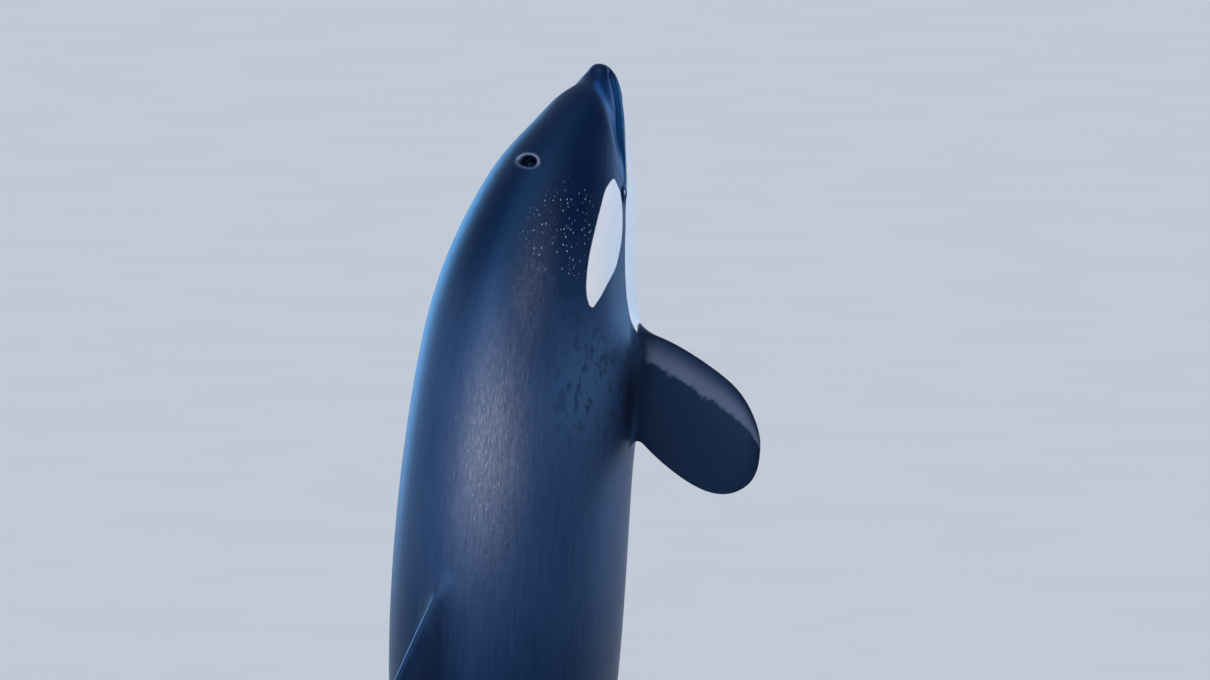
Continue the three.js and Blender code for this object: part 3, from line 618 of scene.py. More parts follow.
def fin_edges(fin, share):
    """Distance of the front and rear edge behind the root, drawn together in a round tip.

    A round tip's outline runs smoothly over the root of the share that is left.
    """
    def place(part):
        return -np.sqrt(1 - part) if fin.get("round_tip") else part

    tables = [np.array(fin[k]) for k in ("lead", "trail")]
    at = place(np.clip(share, ROOT_SHARE, 1))
    lead, trail = (spline(place(k[:, 0]), k[:, 1])(at) for k in tables)
    t = np.clip((share - 1 + TIP_ROUNDING) / TIP_ROUNDING, 0, 1)
    draw = 1 - np.sqrt(np.maximum(1 - t * t, 0))
    lead_more, trail_less = fin["tip"]
    return lead + draw * lead_more * (trail - lead), trail - draw * trail_less * (trail - lead)


def fin_surface(name, fin):
    """Sections along the fin: an aerofoil across the chord, with a flared root and a round thin tip."""
    span, tail, face = fin_axes(fin)
    height = fin["height"]
    root = np.linspace(ROOT_DEPTH, ROOT_TOP, ROOT_STEPS) + fin["fillet_lift"]
    rest = mix(root[-1], height, np.sin(np.pi / 2 * np.arange(1, FIN_STEPS + 1) / FIN_STEPS))
    heights = np.concatenate([root, rest])[:, None]
    share = heights / height
    skirt = fillet_at(heights - fin["fillet_lift"])
    t = np.clip((share - 1 + TIP_ROUNDING) / TIP_ROUNDING, 0, 1)
    thin = np.maximum(np.sqrt(np.maximum(1 - t * t, 0)), TIP_THICKNESS)
    half = mix(*fin["thickness"], np.clip(share, 0, 1) ** TAPER) / 2 * thin + skirt
    lead, trail = fin_edges(fin, share)
    x = (1 - np.cos(np.pi * np.arange(CHORD_STEPS + 1) / CHORD_STEPS)) / 2
    x = np.concatenate([x, x[1:][::-1]])[None, :]
    sign = np.concatenate([np.ones(CHORD_STEPS + 1), -np.ones(CHORD_STEPS)])[None, :]
    along = mix(lead - FRONT_FILLET * skirt, trail + REAR_FILLET * skirt, x) + fin["sweep"] * heights
    out = sign * foil(x) * half + fin["bow"] * share**2
    points = (np.array(fin["base"]) + span * heights[..., None] + tail * along[..., None]
              + face * out[..., None])
    return loft(name, points)


def fin_places(fin, points):
    """Share of the height, distances behind both edges, and height over the fin's middle surface."""
    span, tail, face = fin_axes(fin)
    away = points - np.array(fin["base"])
    height = away @ span
    share = height / fin["height"]
    along = away @ tail - fin["sweep"] * height
    lead, trail = fin_edges(fin, np.clip(share, 0, 1))
    return share, along - lead, trail - along, away @ face - fin["bow"] * share**2


def skin_point(s, angle):
    s, angle = np.float64(s), np.float64(angle)
    return straight_point(s, angle, plain_radius(s, angle))


def all_fins():
    """Dorsal fin, flippers and the two lobes of the flukes, each set on the body."""
    back = skin_point(DORSAL["root_middle"], 0)
    fins = {"dorsal_fin": {
        **DORSAL, "base": (back[0] + DORSAL["sunk"], 0, -DORSAL["at"]), "span": (-1, 0, 0), "side": 1}}
    for name, (side, out, down, sweep) in FLIPPER_SPREAD.items():
        root = skin_point(FLIPPER["root_middle"], side * np.radians(FLIPPER["angle"]))
        span = unit(np.array([down, side * out, 0]))
        base = np.array([root[0], root[1], -FLIPPER["at"]]) - span * FLIPPER["sunk"]
        fins["flipper_" + name] = {**FLIPPER, "base": base, "span": span, "side": side, "sweep": sweep}
    for name, side in (("left", 1), ("right", -1)):
        fins["fluke_" + name] = {
            **FLUKES, "base": (0, 0, -FLUKES["at"]), "span": (0, side, 0), "side": side}
    return fins


FINS = all_fins()
SEAM_WELD = 0.0016
SEAM_SPAN = 1.1
SEAM_ROOT = -0.3
SMOOTHING_STEPS = 36
SMOOTHING_SHARE = 0.6
SAME_PLACE = 1e-5
KEY_STRIDES = (4000003, 4000037)


def rounded_keys(points):
    """One number for each place, the same for places less than about 0.01 mm apart."""
    x, y, z = np.round(np.asarray(points, float) / SAME_PLACE).astype(np.int64).T
    return (x * KEY_STRIDES[0] + y) * KEY_STRIDES[1] + z


def mesh_points(mesh):
    points = np.empty(len(mesh.vertices) * 3)
    mesh.vertices.foreach_get("co", points)
    return points.reshape(-1, 3)


def joined_skin():
    """Union of body and fins, with the seams welded; add_skin relaxes them into soft fillets afterwards."""
    body = body_surface()
    fins = [fin_surface(name, fin) for name, fin in FINS.items()]
    known = np.concatenate([rounded_keys(mesh_points(o.data)) for o in [body, *fins]])
    for fin in fins:
        union = body.modifiers.new(fin.name, "BOOLEAN")
        union.operation = "UNION"
        union.solver = "MANIFOLD"
        union.object = fin
    bpy.context.view_layer.update()
    evaluated = body.evaluated_get(bpy.context.evaluated_depsgraph_get())
    mesh = bpy.data.meshes.new_from_object(evaluated)
    for old in [body, *fins]:
        bpy.data.objects.remove(old)
    seam = ~np.isin(rounded_keys(mesh_points(mesh)), known)
    return weld_seam(mesh, seam)


def weld_seam(mesh, seam):
    """Merges the seam's points that lie close together, and cuts every face into triangles."""
    work = bmesh.new()
    work.from_mesh(mesh)
    mark = work.verts.layers.float.new("seam")
    work.verts.ensure_lookup_table()
    near = [work.verts[i] for i in np.flatnonzero(seam)]
    for vertex in near:
        vertex[mark] = 1
    beside = {other for vertex in near for edge in vertex.link_edges for other in edge.verts}
    bmesh.ops.remove_doubles(work, verts=list(beside), dist=SEAM_WELD)
    bmesh.ops.dissolve_degenerate(work, edges=list(work.edges), dist=SAME_PLACE)
    bmesh.ops.triangulate(work, faces=list(work.faces))
    work.verts.ensure_lookup_table()
    points = np.array([v.co[:] for v in work.verts])
    triangles = np.array([[v.index for v in f.verts] for f in work.faces])
    on_seam = np.array([v[mark] > 0.5 for v in work.verts])
    work.free()
    return points, triangles, on_seam


# Points worked out at once
PART_SIZE = 2000


def parts_near(points, targets, reach):
    """The numbers of the points in the targets' box, widened by the reach, in short parts."""
    near = np.all((points > targets.min(0) - reach) & (points < targets.max(0) + reach), axis=1)
    parts = np.array_split(np.flatnonzero(near), max(1, near.sum() // PART_SIZE))
    return [part for part in parts if len(part)]


def distance_to(points, targets, reach):
    """Distance of each point to the nearest target, worked out only near the targets."""
    distance = np.full(len(points), reach * 2)
    for part in parts_near(points, targets, reach):
        gaps = points[part][:, None, :] - targets[None, :, :]
        distance[part] = np.sqrt((gaps**2).sum(-1)).min(1)
    return distance


def relaxed(points, triangles, on_seam):
    """Moves the points near a seam to their neighbours' mean, less and less away from the seam."""
    weight = np.zeros(len(points))
    for fin in FINS.values():
        share, *_ = fin_places(fin, points)
        away = np.linalg.norm(points - np.array(fin["base"]), axis=1)
        mine = on_seam & (away < SEAM_SPAN) & (share > SEAM_ROOT)
        if mine.any():
            away = distance_to(points, points[mine], fin["seam"])
            weight = np.maximum(weight, rise(away, fin["seam"], 0))
    edges = triangles[:, [0, 1, 1, 2, 2, 0]].reshape(-1, 2)
    edges = np.unique(np.concatenate([edges, edges[:, ::-1]]), axis=0)
    edges = edges[weight[edges[:, 0]] > 0]
    count = np.maximum(np.bincount(edges[:, 0], minlength=len(points)), 1)
    points = points.copy()
    for _ in range(SMOOTHING_STEPS):
        total = [np.bincount(edges[:, 0], points[edges[:, 1], k], len(points)) for k in range(3)]
        mean = np.stack(total, -1) / count[:, None]
        points += np.where(weight[:, None] > 0, (mean - points) * weight[:, None] * SMOOTHING_SHARE, 0)
    return points


# Markings, as distances inside their edges, and the painted light and shade of the skin

def girth_radius(s):
    """Mean radius of the body, which turns an angle into a distance round it."""
    root = root_scale(s)
    return (width_root(root) + (back_root(root) - belly_root(root)) / 2) / 2


def closed_curve(corners, steps=10):
    """Catmull-Rom curve through the corners of a closed outline."""
    p = np.asarray(corners, float)
    a, b, c, d = (np.roll(p, k, axis=0)[:, None] for k in (1, 0, -1, -2))
    t = (np.arange(steps) / steps)[None, :, None]
    curve = 0.5 * (2 * b + (c - a) * t + (2 * a - 5 * b + 4 * c - d) * t**2 + (3 * b - a - 3 * c + d) * t**3)
    return curve.reshape(-1, 2)


def inside(s, angle, outline):
    """Signed distance to an outline on the unrolled skin: positive inside, cut off at the reach."""
    curve, reach = closed_curve(outline), MARKING_REACH
    start = np.stack([curve[:, 0], np.radians(curve[:, 1]) * girth_radius(curve[:, 0])], -1)
    stretch = np.roll(start, -1, axis=0) - start
    place = np.stack([s, angle * girth_radius(s)], -1)
    result = np.full(len(s), -reach)
    for part in parts_near(place, start, reach):
        away = place[part][:, None, :] - start[None, :, :]
        along = np.clip((away * stretch).sum(-1) / np.maximum((stretch**2).sum(-1), TINY**2), 0, 1)
        gap = np.sqrt(((away - along[..., None] * stretch) ** 2).sum(-1)).min(1)
        low = away[..., 1] > 0
        high = np.roll(low, -1, axis=1)
        slope = stretch[:, 0] / np.where(stretch[:, 1] == 0, 1, stretch[:, 1])
        crossing = (low != high) & (away[..., 0] < slope * away[..., 1])
        result[part] = np.where(crossing.sum(1) % 2 == 1, gap, -gap)
    return np.clip(result, -reach, reach)


def zone(s, angle, place):
    """Soft oval zone: a bell of the distance along the body and the angle round it."""
    middle, reach, middle_angle, reach_angle = place
    return bell(s - middle, reach) * bell(np.degrees(angle) - middle_angle, reach_angle)


def painted_beak_reflection(s, side):
    """Painted blue reflection on the beak: a band behind the crease and the lips ahead of it, faded out along
    the head.
    """
    turn = np.degrees(side)
    behind = crease_distance(s, side, section_radius(s, side))
    crease, lip = CREASE_REFLECTION, LIPS_REFLECTION
    band = bell(behind - crease["behind"], crease["width"]) * rise(turn, *crease["top"])
    band = band * rise(turn, *crease["bottom"])
    lips = lip["share"] * rise(turn, *lip["top"]) * rise(turn, *lip["bottom"]) * rise(behind, *lip["behind"])
    return np.maximum(band, lips * rise(s, *lip["snout"])) * rise(s, *REFLECTION_END)


def fluke_white(points, s):
    """White under the flukes: the least distance inside its margins, and only on the lower face."""
    white = np.full(len(s), -MARKING_REACH)
    edge = FLUKE_WHITE
    for name in ("fluke_left", "fluke_right"):
        share, behind, ahead, over = fin_places(FINS[name], points)
        height = FINS[name]["height"]
        margin = np.minimum.reduce([
            behind - edge["front"], ahead - edge["rear"], (1 - share) * height - edge["tip"],
            (share * height + edge["root"]) * edge["root_slope"],
            -edge["upper_slope"] * over - edge["upper"]])
        mine = (s > edge["start"]) & (share > edge["least_share"])
        white = np.where(mine, np.maximum(white, margin), white)
    return white


def flipper_fields(points, s, above_skin):
    """On the flippers: the painted highlight band behind the front edge, the face behind the band, and the
    painted shade over the flipper.
    """
    band, face, dark = np.zeros((3, len(s)))
    limit = FLIPPER_HIGHLIGHT_AND_SHADE
    for name in ("flipper_left", "flipper_right"):
        share, behind, ahead, over = fin_places(FINS[name], points)
        chord = behind / np.maximum(behind + ahead, limit["least_chord"])
        beside = (np.sign(points[:, 1]) == FINS[name]["side"]) & (s > limit["from"]) & (s < limit["to"])
        mine = beside & (above_skin > limit["above"][0]) & (share > 0)
        strip = rise(chord, *limit["chord"]) * rise(over, *limit["over"])
        strip = strip * rise(share, *limit["share"]) * rise(above_skin, *limit["above"])
        band = np.where(mine, strip, band)
        face = np.where(beside, rise(chord, *limit["face"]), face)
        dark = np.where(mine, rise(share, *limit["dark"]), dark)
    return band, face, dark


def marking_fields(points):
    """Every marking of the skin, and every painted sheen, reflection, glint, highlight and shade, as one
    number at each point of the straight animal.
    """
    s = -points[:, 2]
    round_back = -(points[:, 0] + level(s))
    angle = np.arctan2(points[:, 1], round_back)
    side = np.abs(angle)
    radius = section_radius(s, side)
    above_skin = np.hypot(points[:, 1], round_back) - radius - shoulder_height(s, side)
    on_fin = np.where(s > HEAD_END, above_skin, 0)
    band, face, dark = flipper_fields(points, s, above_skin)
    rim = blowhole_edge(s, angle, radius)[0]
    ring = np.maximum(rise(s - BLOWHOLE_AT, *RIM_HIGHLIGHT_RING["along"]), RIM_HIGHLIGHT_RING["least"])
    return {
        "throat": np.minimum(inside(s, side, THROAT_AND_BELLY), WHITE_ON_FIN - on_fin),
        "eye_patch": inside(s, side, EYE_PATCH),
        "saddle": np.minimum(inside(s, side, SADDLE), SADDLE_ON_FIN - on_fin),
        "fluke_white": fluke_white(points, s),
        # Painted highlight band behind the flippers' front edge
        "flipper_highlight": band,
        "flipper_face": face,
        # Painted blue reflection on the beak's crease and lips
        "beak_reflection": painted_beak_reflection(s, side),
        # Painted glints on water drops
        "glint_specks": zone(s, angle, GLINT_ZONE),
        # Painted sheen of reflected sky on the back
        "sky_sheen": np.maximum(zone(s, angle, SKY_SHEEN_ZONE), UPPER_SHEEN * zone(s, angle, UPPER_SHEEN_ZONE)),
        "mottle": zone(s, angle, MOTTLE_ZONE),
        "above_skin": on_fin,
        # Painted sheen of reflected sky in the slate tone, growing down the body
        "lower": rise(s, *LOWER_BODY) * (1 - HIND_SHADE * rise(s, *HIND_BODY)),
        # Painted shade over the flippers and beside their roots
        "fin": np.maximum(dark, zone(s, side, ROOT_SHADE)),
        # Painted highlight on the blowhole's rim
        "blowhole_rim_highlight": ring * bell(rim - RIM_HIGHLIGHT_RING["outside"], RIM_HIGHLIGHT_RING["width"]),
        # Painted shade inside the blowhole
        "blowhole_pit_shade": rise(rim, *PIT_FADE),
    }


def skin_map(points, triangles, above_skin):
    """Unwrap: the body as distance and angle, each face of each fin as height and chord beside it."""
    body, fins = BODY_MAP, FIN_MAP
    s = -points[:, 2]
    angle = np.arctan2(points[:, 1], -(points[:, 0] + level(s)))
    turn = angle[triangles] / (2 * np.pi) + 0.5
    turn = np.where((np.ptp(turn, axis=1) > 0.5)[:, None] & (turn < 0.5), turn + 1, turn)
    down = (s[triangles] / LENGTH) ** body["power"]
    uv = np.stack([body["left"] + body["width"] * turn, body["top"] - body["height"] * down], -1)
    on_fin = above_skin[triangles].mean(1) > fins["over"]
    middle = points[triangles].mean(1)
    for row, (name, fin) in enumerate(FINS.items()):
        share, _, _, over = fin_places(fin, points)
        mine = on_fin & (fin_places(fin, middle)[0] > fins["least_share"])
        mine &= np.abs(-middle[:, 2] - fin["at"] - fins["middle"]) < fins["reach"]
        if name != "dorsal_fin":
            mine &= np.sign(middle[:, 1]) == np.sign(fin["side"])
        for column, above in enumerate((True, False)):
            chosen = mine & ((over[triangles].mean(1) > 0) == above)
            own = triangles[chosen]
            along = (fin["base"][2] - points[own, 2]) / fins["chord"] + fins["start"]
            corner = fins["left"] + fins["column"] * column, fins["bottom"] + fins["row"] * row
            uv[chosen] = corner + fins["size"] * np.clip(np.stack([share[own], along], -1), 0, 1)
    return uv.reshape(-1, 2)


def add_values(mesh, name, values):
    """One number at each point, under a name that a material reads."""
    mesh.attributes.new(name, "FLOAT", "POINT").data.foreach_set("value", values.astype(np.float32))


def add_skin():
    points, triangles, on_seam = joined_skin()
    points = relaxed(points, triangles, on_seam)
    fields = marking_fields(points)
    skin = new_piece("skin", placed(points), triangles.tolist())
    mesh = skin.data
    straight = mesh.attributes.new("straight", "FLOAT_VECTOR", "POINT")
    straight.data.foreach_set("vector", points.astype(np.float32).ravel())
    places = skin_map(points, triangles, fields.pop("above_skin"))
    mesh.uv_layers.new(name="OFBake").data.foreach_set("uv", places.astype(np.float32).ravel())
    for name, values in fields.items():
        add_values(mesh, name, values)
    mesh.materials.append(skin_finish())
    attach(skin, "root")
    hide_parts("head", "lower_jaw", "chest", "abdomen", "tail_stock", *FINS)


# Eyes

EYE_ROWS = 28
EYE_TURNS = 48
ALONG_STEP = 0.004
ROUND_STEP = 0.02


def skin_directions(s, angle):
    """At a point of the plain skin: along the body, across it, and straight out."""
    here = skin_point(s, angle)
    along = unit(skin_point(s + ALONG_STEP, angle) - skin_point(s - ALONG_STEP, angle))
    round_body = unit(skin_point(s, angle + ROUND_STEP) - skin_point(s, angle - ROUND_STEP))
    out = unit(np.cross(along, round_body))
    out = out * np.sign(out @ np.array([here[0] + level(s), here[1], 0]))
    return here, along, unit(np.cross(out, along)), out


def add_eye(name, side):
    """Ellipsoid in the skin's directions, with a shallow bulge of the cornea round its outward pole."""
    here, along, across, out = skin_directions(EYE_AT, side * np.radians(EYE_ANGLE))

    def spot(x, y, z):
        return placed(here + along * x * EYE["length"] + across * y * EYE["height"]
                      + out * (z * EYE["depth"] - EYE["sunk"]))

    polar = np.linspace(0, np.pi, EYE_ROWS + 2)[1:-1, None, None]
    turn = full_turn(EYE_TURNS)[None, :, None]
    bulge = 1 + CORNEA["height"] * bell(polar, CORNEA["width"])
    rings = spot(np.sin(polar) * np.cos(turn), np.sin(polar) * np.sin(turn), np.cos(polar) * bulge + 0 * turn)
    eye = loft(name, rings, first=spot(0, 0, 1 + CORNEA["height"]), last=spot(0, 0, -1))
    add_values(eye.data, "from_pupil", np.concatenate([np.repeat(polar.ravel(), EYE_TURNS), [0, np.pi]]))
    eye.data.materials.append(eye_finish())
    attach(eye, "root")
    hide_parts("eye_" + ("left" if side > 0 else "right"))


# Stand

def piece_of_stand(name, rings, finish, slot, *nodes, **ends):
    """One lofted piece of the stand with its finish; it replaces the nodes that are named."""
    piece = loft(name, rings, **ends)
    piece.data.materials.append(finish)
    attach(piece, "root")
    if nodes:
        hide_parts(*nodes)


UNDER_EDGE = 0.004
INNER_RING = 0.5
OUTER_RING = 0.9


def rounded_plate(radius, bottom, top, edge, corners=8):
    """Profile of a round plate with a quarter-round upper edge."""
    turn = np.linspace(0, np.pi / 2, corners)
    corner = np.stack([radius - edge + edge * np.cos(turn), top - edge + edge * np.sin(turn)], -1)
    return np.concatenate([
        [[radius * INNER_RING, bottom], [radius - UNDER_EDGE, bottom], [radius, bottom + UNDER_EDGE]],
        corner, [[radius * OUTER_RING, top], [radius * INNER_RING, top]]])


def add_stand():
    paint, steel, rubber = paint_finish(), steel_finish(), rubber_finish()
    plate = lathe(rounded_plate(BASE["radius"], 0, BASE["thickness"], BASE["edge"]), BASE["turns"])
    piece_of_stand("stand_plate", plate, paint, "base_paint", "stand_base",
                   first=(0, 0, 0), last=(0, 0, BASE["thickness"]))
    for name, side in (("front", 1), ("back", -1)):
        add_rod(name, side, steel, rubber)


def add_rod(name, side, steel, rubber):
    """Rod from its foot on the plate to the tail stock, with a sleeve, a foot flange and bolts."""
    axis = placed(np.array([0, 0, ROD["reach"] - ANIMAL_PLACE[2]]))
    foot = axis.copy()
    foot[2] = BASE["thickness"] + GAP
    foot[0] += side * (ROD["reach"] - BASE["thickness"]) * np.tan(np.radians(ROD["tilt"]))
    direction = unit(axis - foot)
    reach = (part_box("stand_rod_" + name)[1][2] + ROD["sunk"] - foot[2]) / direction[2]
    across = unit(np.cross(direction, [0, 1.0, 0]))
    sideways = np.cross(direction, across)
    turn = full_turn(ROD["turns"])[None, :, None]
    circle = across * np.cos(turn) + sideways * np.sin(turn)

    def tube(places, radii):
        return foot + direction * places[:, None, None] + circle * radii[:, None, None]

    bar = tube(np.linspace(ROD["start"], reach, ROD["rings"]), np.full(ROD["rings"], ROD["radius"]))
    piece_of_stand(f"stand_rod_{name}_steel", bar, steel, "rod_steel", "stand_rod_" + name)
    sleeve = tube(reach + SLEEVE_PLACES, ROD["radius"] + SLEEVE_PROUD)
    piece_of_stand("stand_collar_" + name, sleeve, rubber, "base_paint")
    top = np.array([0, 0, FOOT["thickness"]])
    profile = rounded_plate(FOOT["radius"], foot[2], foot[2] + top[2], FOOT["edge"], FOOT["corners"])
    flange = lathe(profile, FOOT["turns"]) + foot * (1, 1, 0)
    piece_of_stand("stand_flange_" + name, flange, steel, "rod_steel", first=foot, last=foot + top)
    bolt = lathe(BOLT["profile"], BOLT["turns"])
    for k, at in enumerate(full_turn(BOLT["count"]) + np.radians(BOLT["first"])):
        place = foot + top + [BOLT["circle"] * np.cos(at), BOLT["circle"] * np.sin(at), BOLT["gap"]]
        piece_of_stand(f"stand_bolt_{name}_{k}", bolt + place, steel, "rod_steel",
                       first=place, last=place + [0, 0, BOLT["top"]])


# Finishes

class Finish:
    """A material whose nodes are added by plain calls."""

    def __init__(self, name):
        self.material = bpy.data.materials.new(name)
        self.material.use_nodes = True
        self.tree = self.material.node_tree
        self.shader = self.tree.nodes["Principled BSDF"]

    def plug(self, socket, value):
        if isinstance(value, Reading):
            self.tree.links.new(value.socket, socket)
        else:
            socket.default_value = value

    def node(self, kind, settings=None, inputs=None, out=0):
        """One node: its settings first, then the values or links of its sockets."""
        node = self.tree.nodes.new("ShaderNode" + kind)
        for name, value in (settings or {}).items():
            setattr(node, name, value)
        for name, value in (inputs or {}).items():
            self.plug(node.inputs[name], value)
        return Reading(self, node.outputs[out])

    def field(self, name, out=2):
        """What the mesh carries at its points: a number, or a place from output 1."""
        return self.node("Attribute", {"attribute_name": name}, out=out)

    def object_places(self):
        return self.node("TexCoord", out=3)

    def stretched(self, places, factors):
        return self.node("VectorMath", {"operation": "MULTIPLY"}, {0: places, 1: factors})

    def grain(self, places, scale, detail=2.0, roughness=0.5):
        """Noise from about 0 to 1, whose mean is a half; three scales stretch it."""
        if isinstance(scale, tuple):
            places, scale = self.stretched(places, scale), 1.0
        return self.node("TexNoise", None, {
            "Vector": places, "Scale": scale, "Detail": detail, "Roughness": roughness})

    def cells(self, places, scale, out=0):
        return self.node("TexVoronoi", None, {"Vector": places, "Scale": scale}, out=out)

    def blend(self, share, first, second):
        """Colour between two colours."""
        return self.node("Mix", {"data_type": "RGBA"}, {0: share, 6: first, 7: second}, out=2)

    def set(self, **values):
        """Sets the shader's sockets; an underscore in a name stands for a space."""
        for name, value in values.items():
            self.plug(self.shader.inputs[name.replace("_", " ")], value)

    def raise_by(self, height):
        """Bump from a height in metres."""
        self.set(Normal=self.node("Bump", None, {"Height": height, "Distance": 1.0, "Strength": 1.0}))


class Reading:
    """A shader value; the operators on it add Math nodes."""

    def __init__(self, finish, socket):
        self.finish = finish
        self.socket = socket

    def math(self, operation, *terms):
        return self.finish.node("Math", {"operation": operation}, dict(enumerate(terms)))

    def __add__(self, other):
        return self.math("ADD", self, other)

    def __sub__(self, other):
        return self.math("SUBTRACT", self, other)

    def __rsub__(self, other):
        return self.math("SUBTRACT", other, self)

    def __mul__(self, other):
        return self.math("MULTIPLY", self, other)

    def most(self, other):
        return self.math("MAXIMUM", self, other)

    def step(self, low, high):
        """0 under low, 1 over high, and an eased rise between."""
        return self.finish.node("MapRange", {"interpolation_type": "SMOOTHSTEP"},
                                {"Value": self, "From Min": low, "From Max": high})

    __radd__ = __add__
    __rmul__ = __mul__


# Colours: skin, eye, stand, floor
NAVY = (0.0008, 0.0042, 0.0210, 1)
# Slate: a tone that varies at random, and the colour of a painted sheen of reflected sky
SLATE = (0.020, 0.043, 0.100, 1)
# Grey of the painted sheen of reflected sky
SHEEN_GREY = (0.175, 0.172, 0.216, 1)
FLANK_BLUE = (0.036, 0.078, 0.155, 1)
# Blue of the painted reflection on the beak
REFLECTION_BLUE = (0.005, 0.058, 0.195, 1)
# Dark blotches of the flank, and painted shade over the flippers and beside their roots
DARK = (0.0042, 0.0044, 0.0120, 1)
# Black of the painted shade inside the blowhole
PIT_SHADE_BLACK = (0.0004, 0.0004, 0.0010, 1)
WHITE = (0.86, 0.80, 0.75, 1)
WHITE_SHADE = (0.77, 0.73, 0.71, 1)
SADDLE_GREY = (0.17, 0.185, 0.215, 1)
# Grey of the painted highlight on the flippers
HIGHLIGHT_GREY = (0.068, 0.076, 0.115, 1)
# Pale colour of the painted highlight on the blowhole's rim
RIM_HIGHLIGHT = (0.17, 0.20, 0.29, 1)
# Pale colour of the painted glints on water drops
DROP_GLINT = (0.42, 0.48, 0.58, 1)
PUPIL = (0.002, 0.002, 0.003, 1)
IRIS_DARK = (0.020, 0.012, 0.007, 1)
IRIS_LIGHT = (0.055, 0.034, 0.020, 1)
EYE_RIM = (0.030, 0.024, 0.024, 1)
PAINT_DARK = (0.040, 0.044, 0.049, 1)
PAINT_LIGHT = (0.062, 0.067, 0.073, 1)
DUST = (0.18, 0.18, 0.18, 1)
STEEL_DARK = (0.40, 0.42, 0.44, 1)
STEEL_LIGHT = (0.58, 0.60, 0.62, 1)
RUBBER_DARK = (0.010, 0.010, 0.011, 1)
RUBBER_LIGHT = (0.022, 0.022, 0.024, 1)
FLOOR_DARK = (0.72, 0.70, 0.68, 1)
FLOOR_LIGHT = (0.78, 0.76, 0.74, 1)
SPOT_SCALE = 88.0


def skin_finish():
    """Wet skin: navy black shading to slate with fine streaks, and white and grey markings, with a painted
    sheen, painted reflections, glints and highlights, and painted shade.
    """
    f = Finish("wet_skin")
    body = f.field("straight", out=1)
    broad = f.grain(body, (3.2, 3.2, 1.4), 3.0)
    streak = f.grain(body, (75, 75, 5), 3.0, 0.6)
    hair = f.grain(body, (260, 260, 22), 2.0, 0.6)
    wander = f.grain(body, 24.0, 3.0)
    tooth = f.grain(body, 190.0, 1.0)
    sky_sheen, mottle, glint_specks, lower = f.field("sky_sheen"), f.field("mottle"), f.field("glint_specks"), f.field("lower")

    def marking(name, soft, uneven):
        edge = f.field(name) + (wander - 0.5) * uneven + (tooth - 0.5) * 0.002
        return edge.step(-soft, soft)

    # Slate: a broad random tone, and a painted sheen of reflected sky coming in down the body
    slate = (lower * (0.55 + streak * 0.5) + (broad - 0.5) * 0.5 + (streak - 0.5) * 0.12).step(0.0, 1.0)
    black = f.blend(slate, NAVY, SLATE)
    # Painted blue reflection on the beak's crease and lips
    black = f.blend(f.field("beak_reflection") * (0.6 + broad * 0.6), black, REFLECTION_BLUE)
    # Painted sheen of reflected sky on the back, grained by fine flecks and streaks
    sheen_flecks = hair.step(0.46, 0.66)
    black = f.blend(sky_sheen * (0.15 + streak * 0.55 + sheen_flecks * 0.55), black, SHEEN_GREY)
    blotches = f.grain(body, (26, 26, 17), 3.0, 0.6)
    black = f.blend(mottle * (0.25 + broad * 0.9), black, FLANK_BLUE)
    black = f.blend(mottle * blotches.step(0.52, 0.60) * 0.75, black, DARK)
    # Painted glints on water drops, in their own zone and in the sheen; the drops also raise a bump
    spots = f.stretched(body, (1, 1, 0.45))
    dots = 1 - f.cells(spots, SPOT_SCALE).step(0.13, 0.25)
    chosen = f.node("SeparateColor", None, {0: f.cells(spots, SPOT_SCALE, out=1)}).step(0.15, 0.85)
    drop_glints = dots * chosen * (glint_specks.step(0.1, 0.5) + sky_sheen * 0.5)
    black = f.blend(drop_glints * 0.8, black, DROP_GLINT)
    # Painted shade over the flippers and beside their roots
    black = f.blend(f.field("fin"), black, DARK)
    # Painted highlight band behind the flippers' front edge, with a ragged edge towards the face
    face = (f.field("flipper_face") + (wander - 0.5) * 0.55 + (tooth - 0.5) * 0.30).step(0.42, 0.60)
    black = f.blend(f.field("flipper_highlight") * (1 - face) * (0.45 + broad * 0.8), black, HIGHLIGHT_GREY)
    # Painted shade inside the blowhole
    black = f.blend(f.field("blowhole_pit_shade") * 0.9, black, PIT_SHADE_BLACK)
    # Painted highlight on the blowhole's rim
    black = f.blend(f.field("blowhole_rim_highlight") * (0.35 + wander * 0.8), black, RIM_HIGHLIGHT)
    black = f.blend(marking("saddle", 0.035, 0.05) * (0.55 + streak * 0.5), black, SADDLE_GREY)
    white = f.blend(broad.step(0.3, 0.7), WHITE, WHITE_SHADE)
    pale = marking("throat", 0.0028, 0.004).most(marking("eye_patch", 0.0028, 0.004))
    pale = pale.most(marking("fluke_white", 0.006, 0.03))
    f.set(Base_Color=f.blend(pale, black, white))
    f.set(Roughness=0.42 + sky_sheen * 0.10 + (streak - 0.5) * 0.16 + pale * 0.04)
    f.set(Coat_Weight=0.012 + sky_sheen * 0.16 + lower * hair * 0.06)
    f.set(Coat_Roughness=0.25, Specular_IOR_Level=0.29, Specular_Tint=(0.08, 0.42, 1.0, 1))
    fine = streak * 0.0010 + hair * 0.0004 + drop_glints * 0.0015 + tooth * 0.00015
    f.raise_by(fine + blotches * mottle * 0.0012)
    return f.material


def eye_finish():
    """Dark brown iris round a black pupil, under a clear wet coat."""
    f = Finish("wet_eye")
    away = f.field("from_pupil")
    fibres = f.grain(f.object_places(), 900.0, 2.0)
    iris = f.blend(fibres, IRIS_DARK, IRIS_LIGHT)
    inner = f.blend(away.step(0.26, 0.34), PUPIL, iris)
    f.set(Base_Color=f.blend(away.step(0.62, 0.80), inner, EYE_RIM))
    f.set(Roughness=0.12 + fibres * 0.06)
    f.set(Coat_Weight=1.0, Coat_Roughness=0.02)
    return f.material


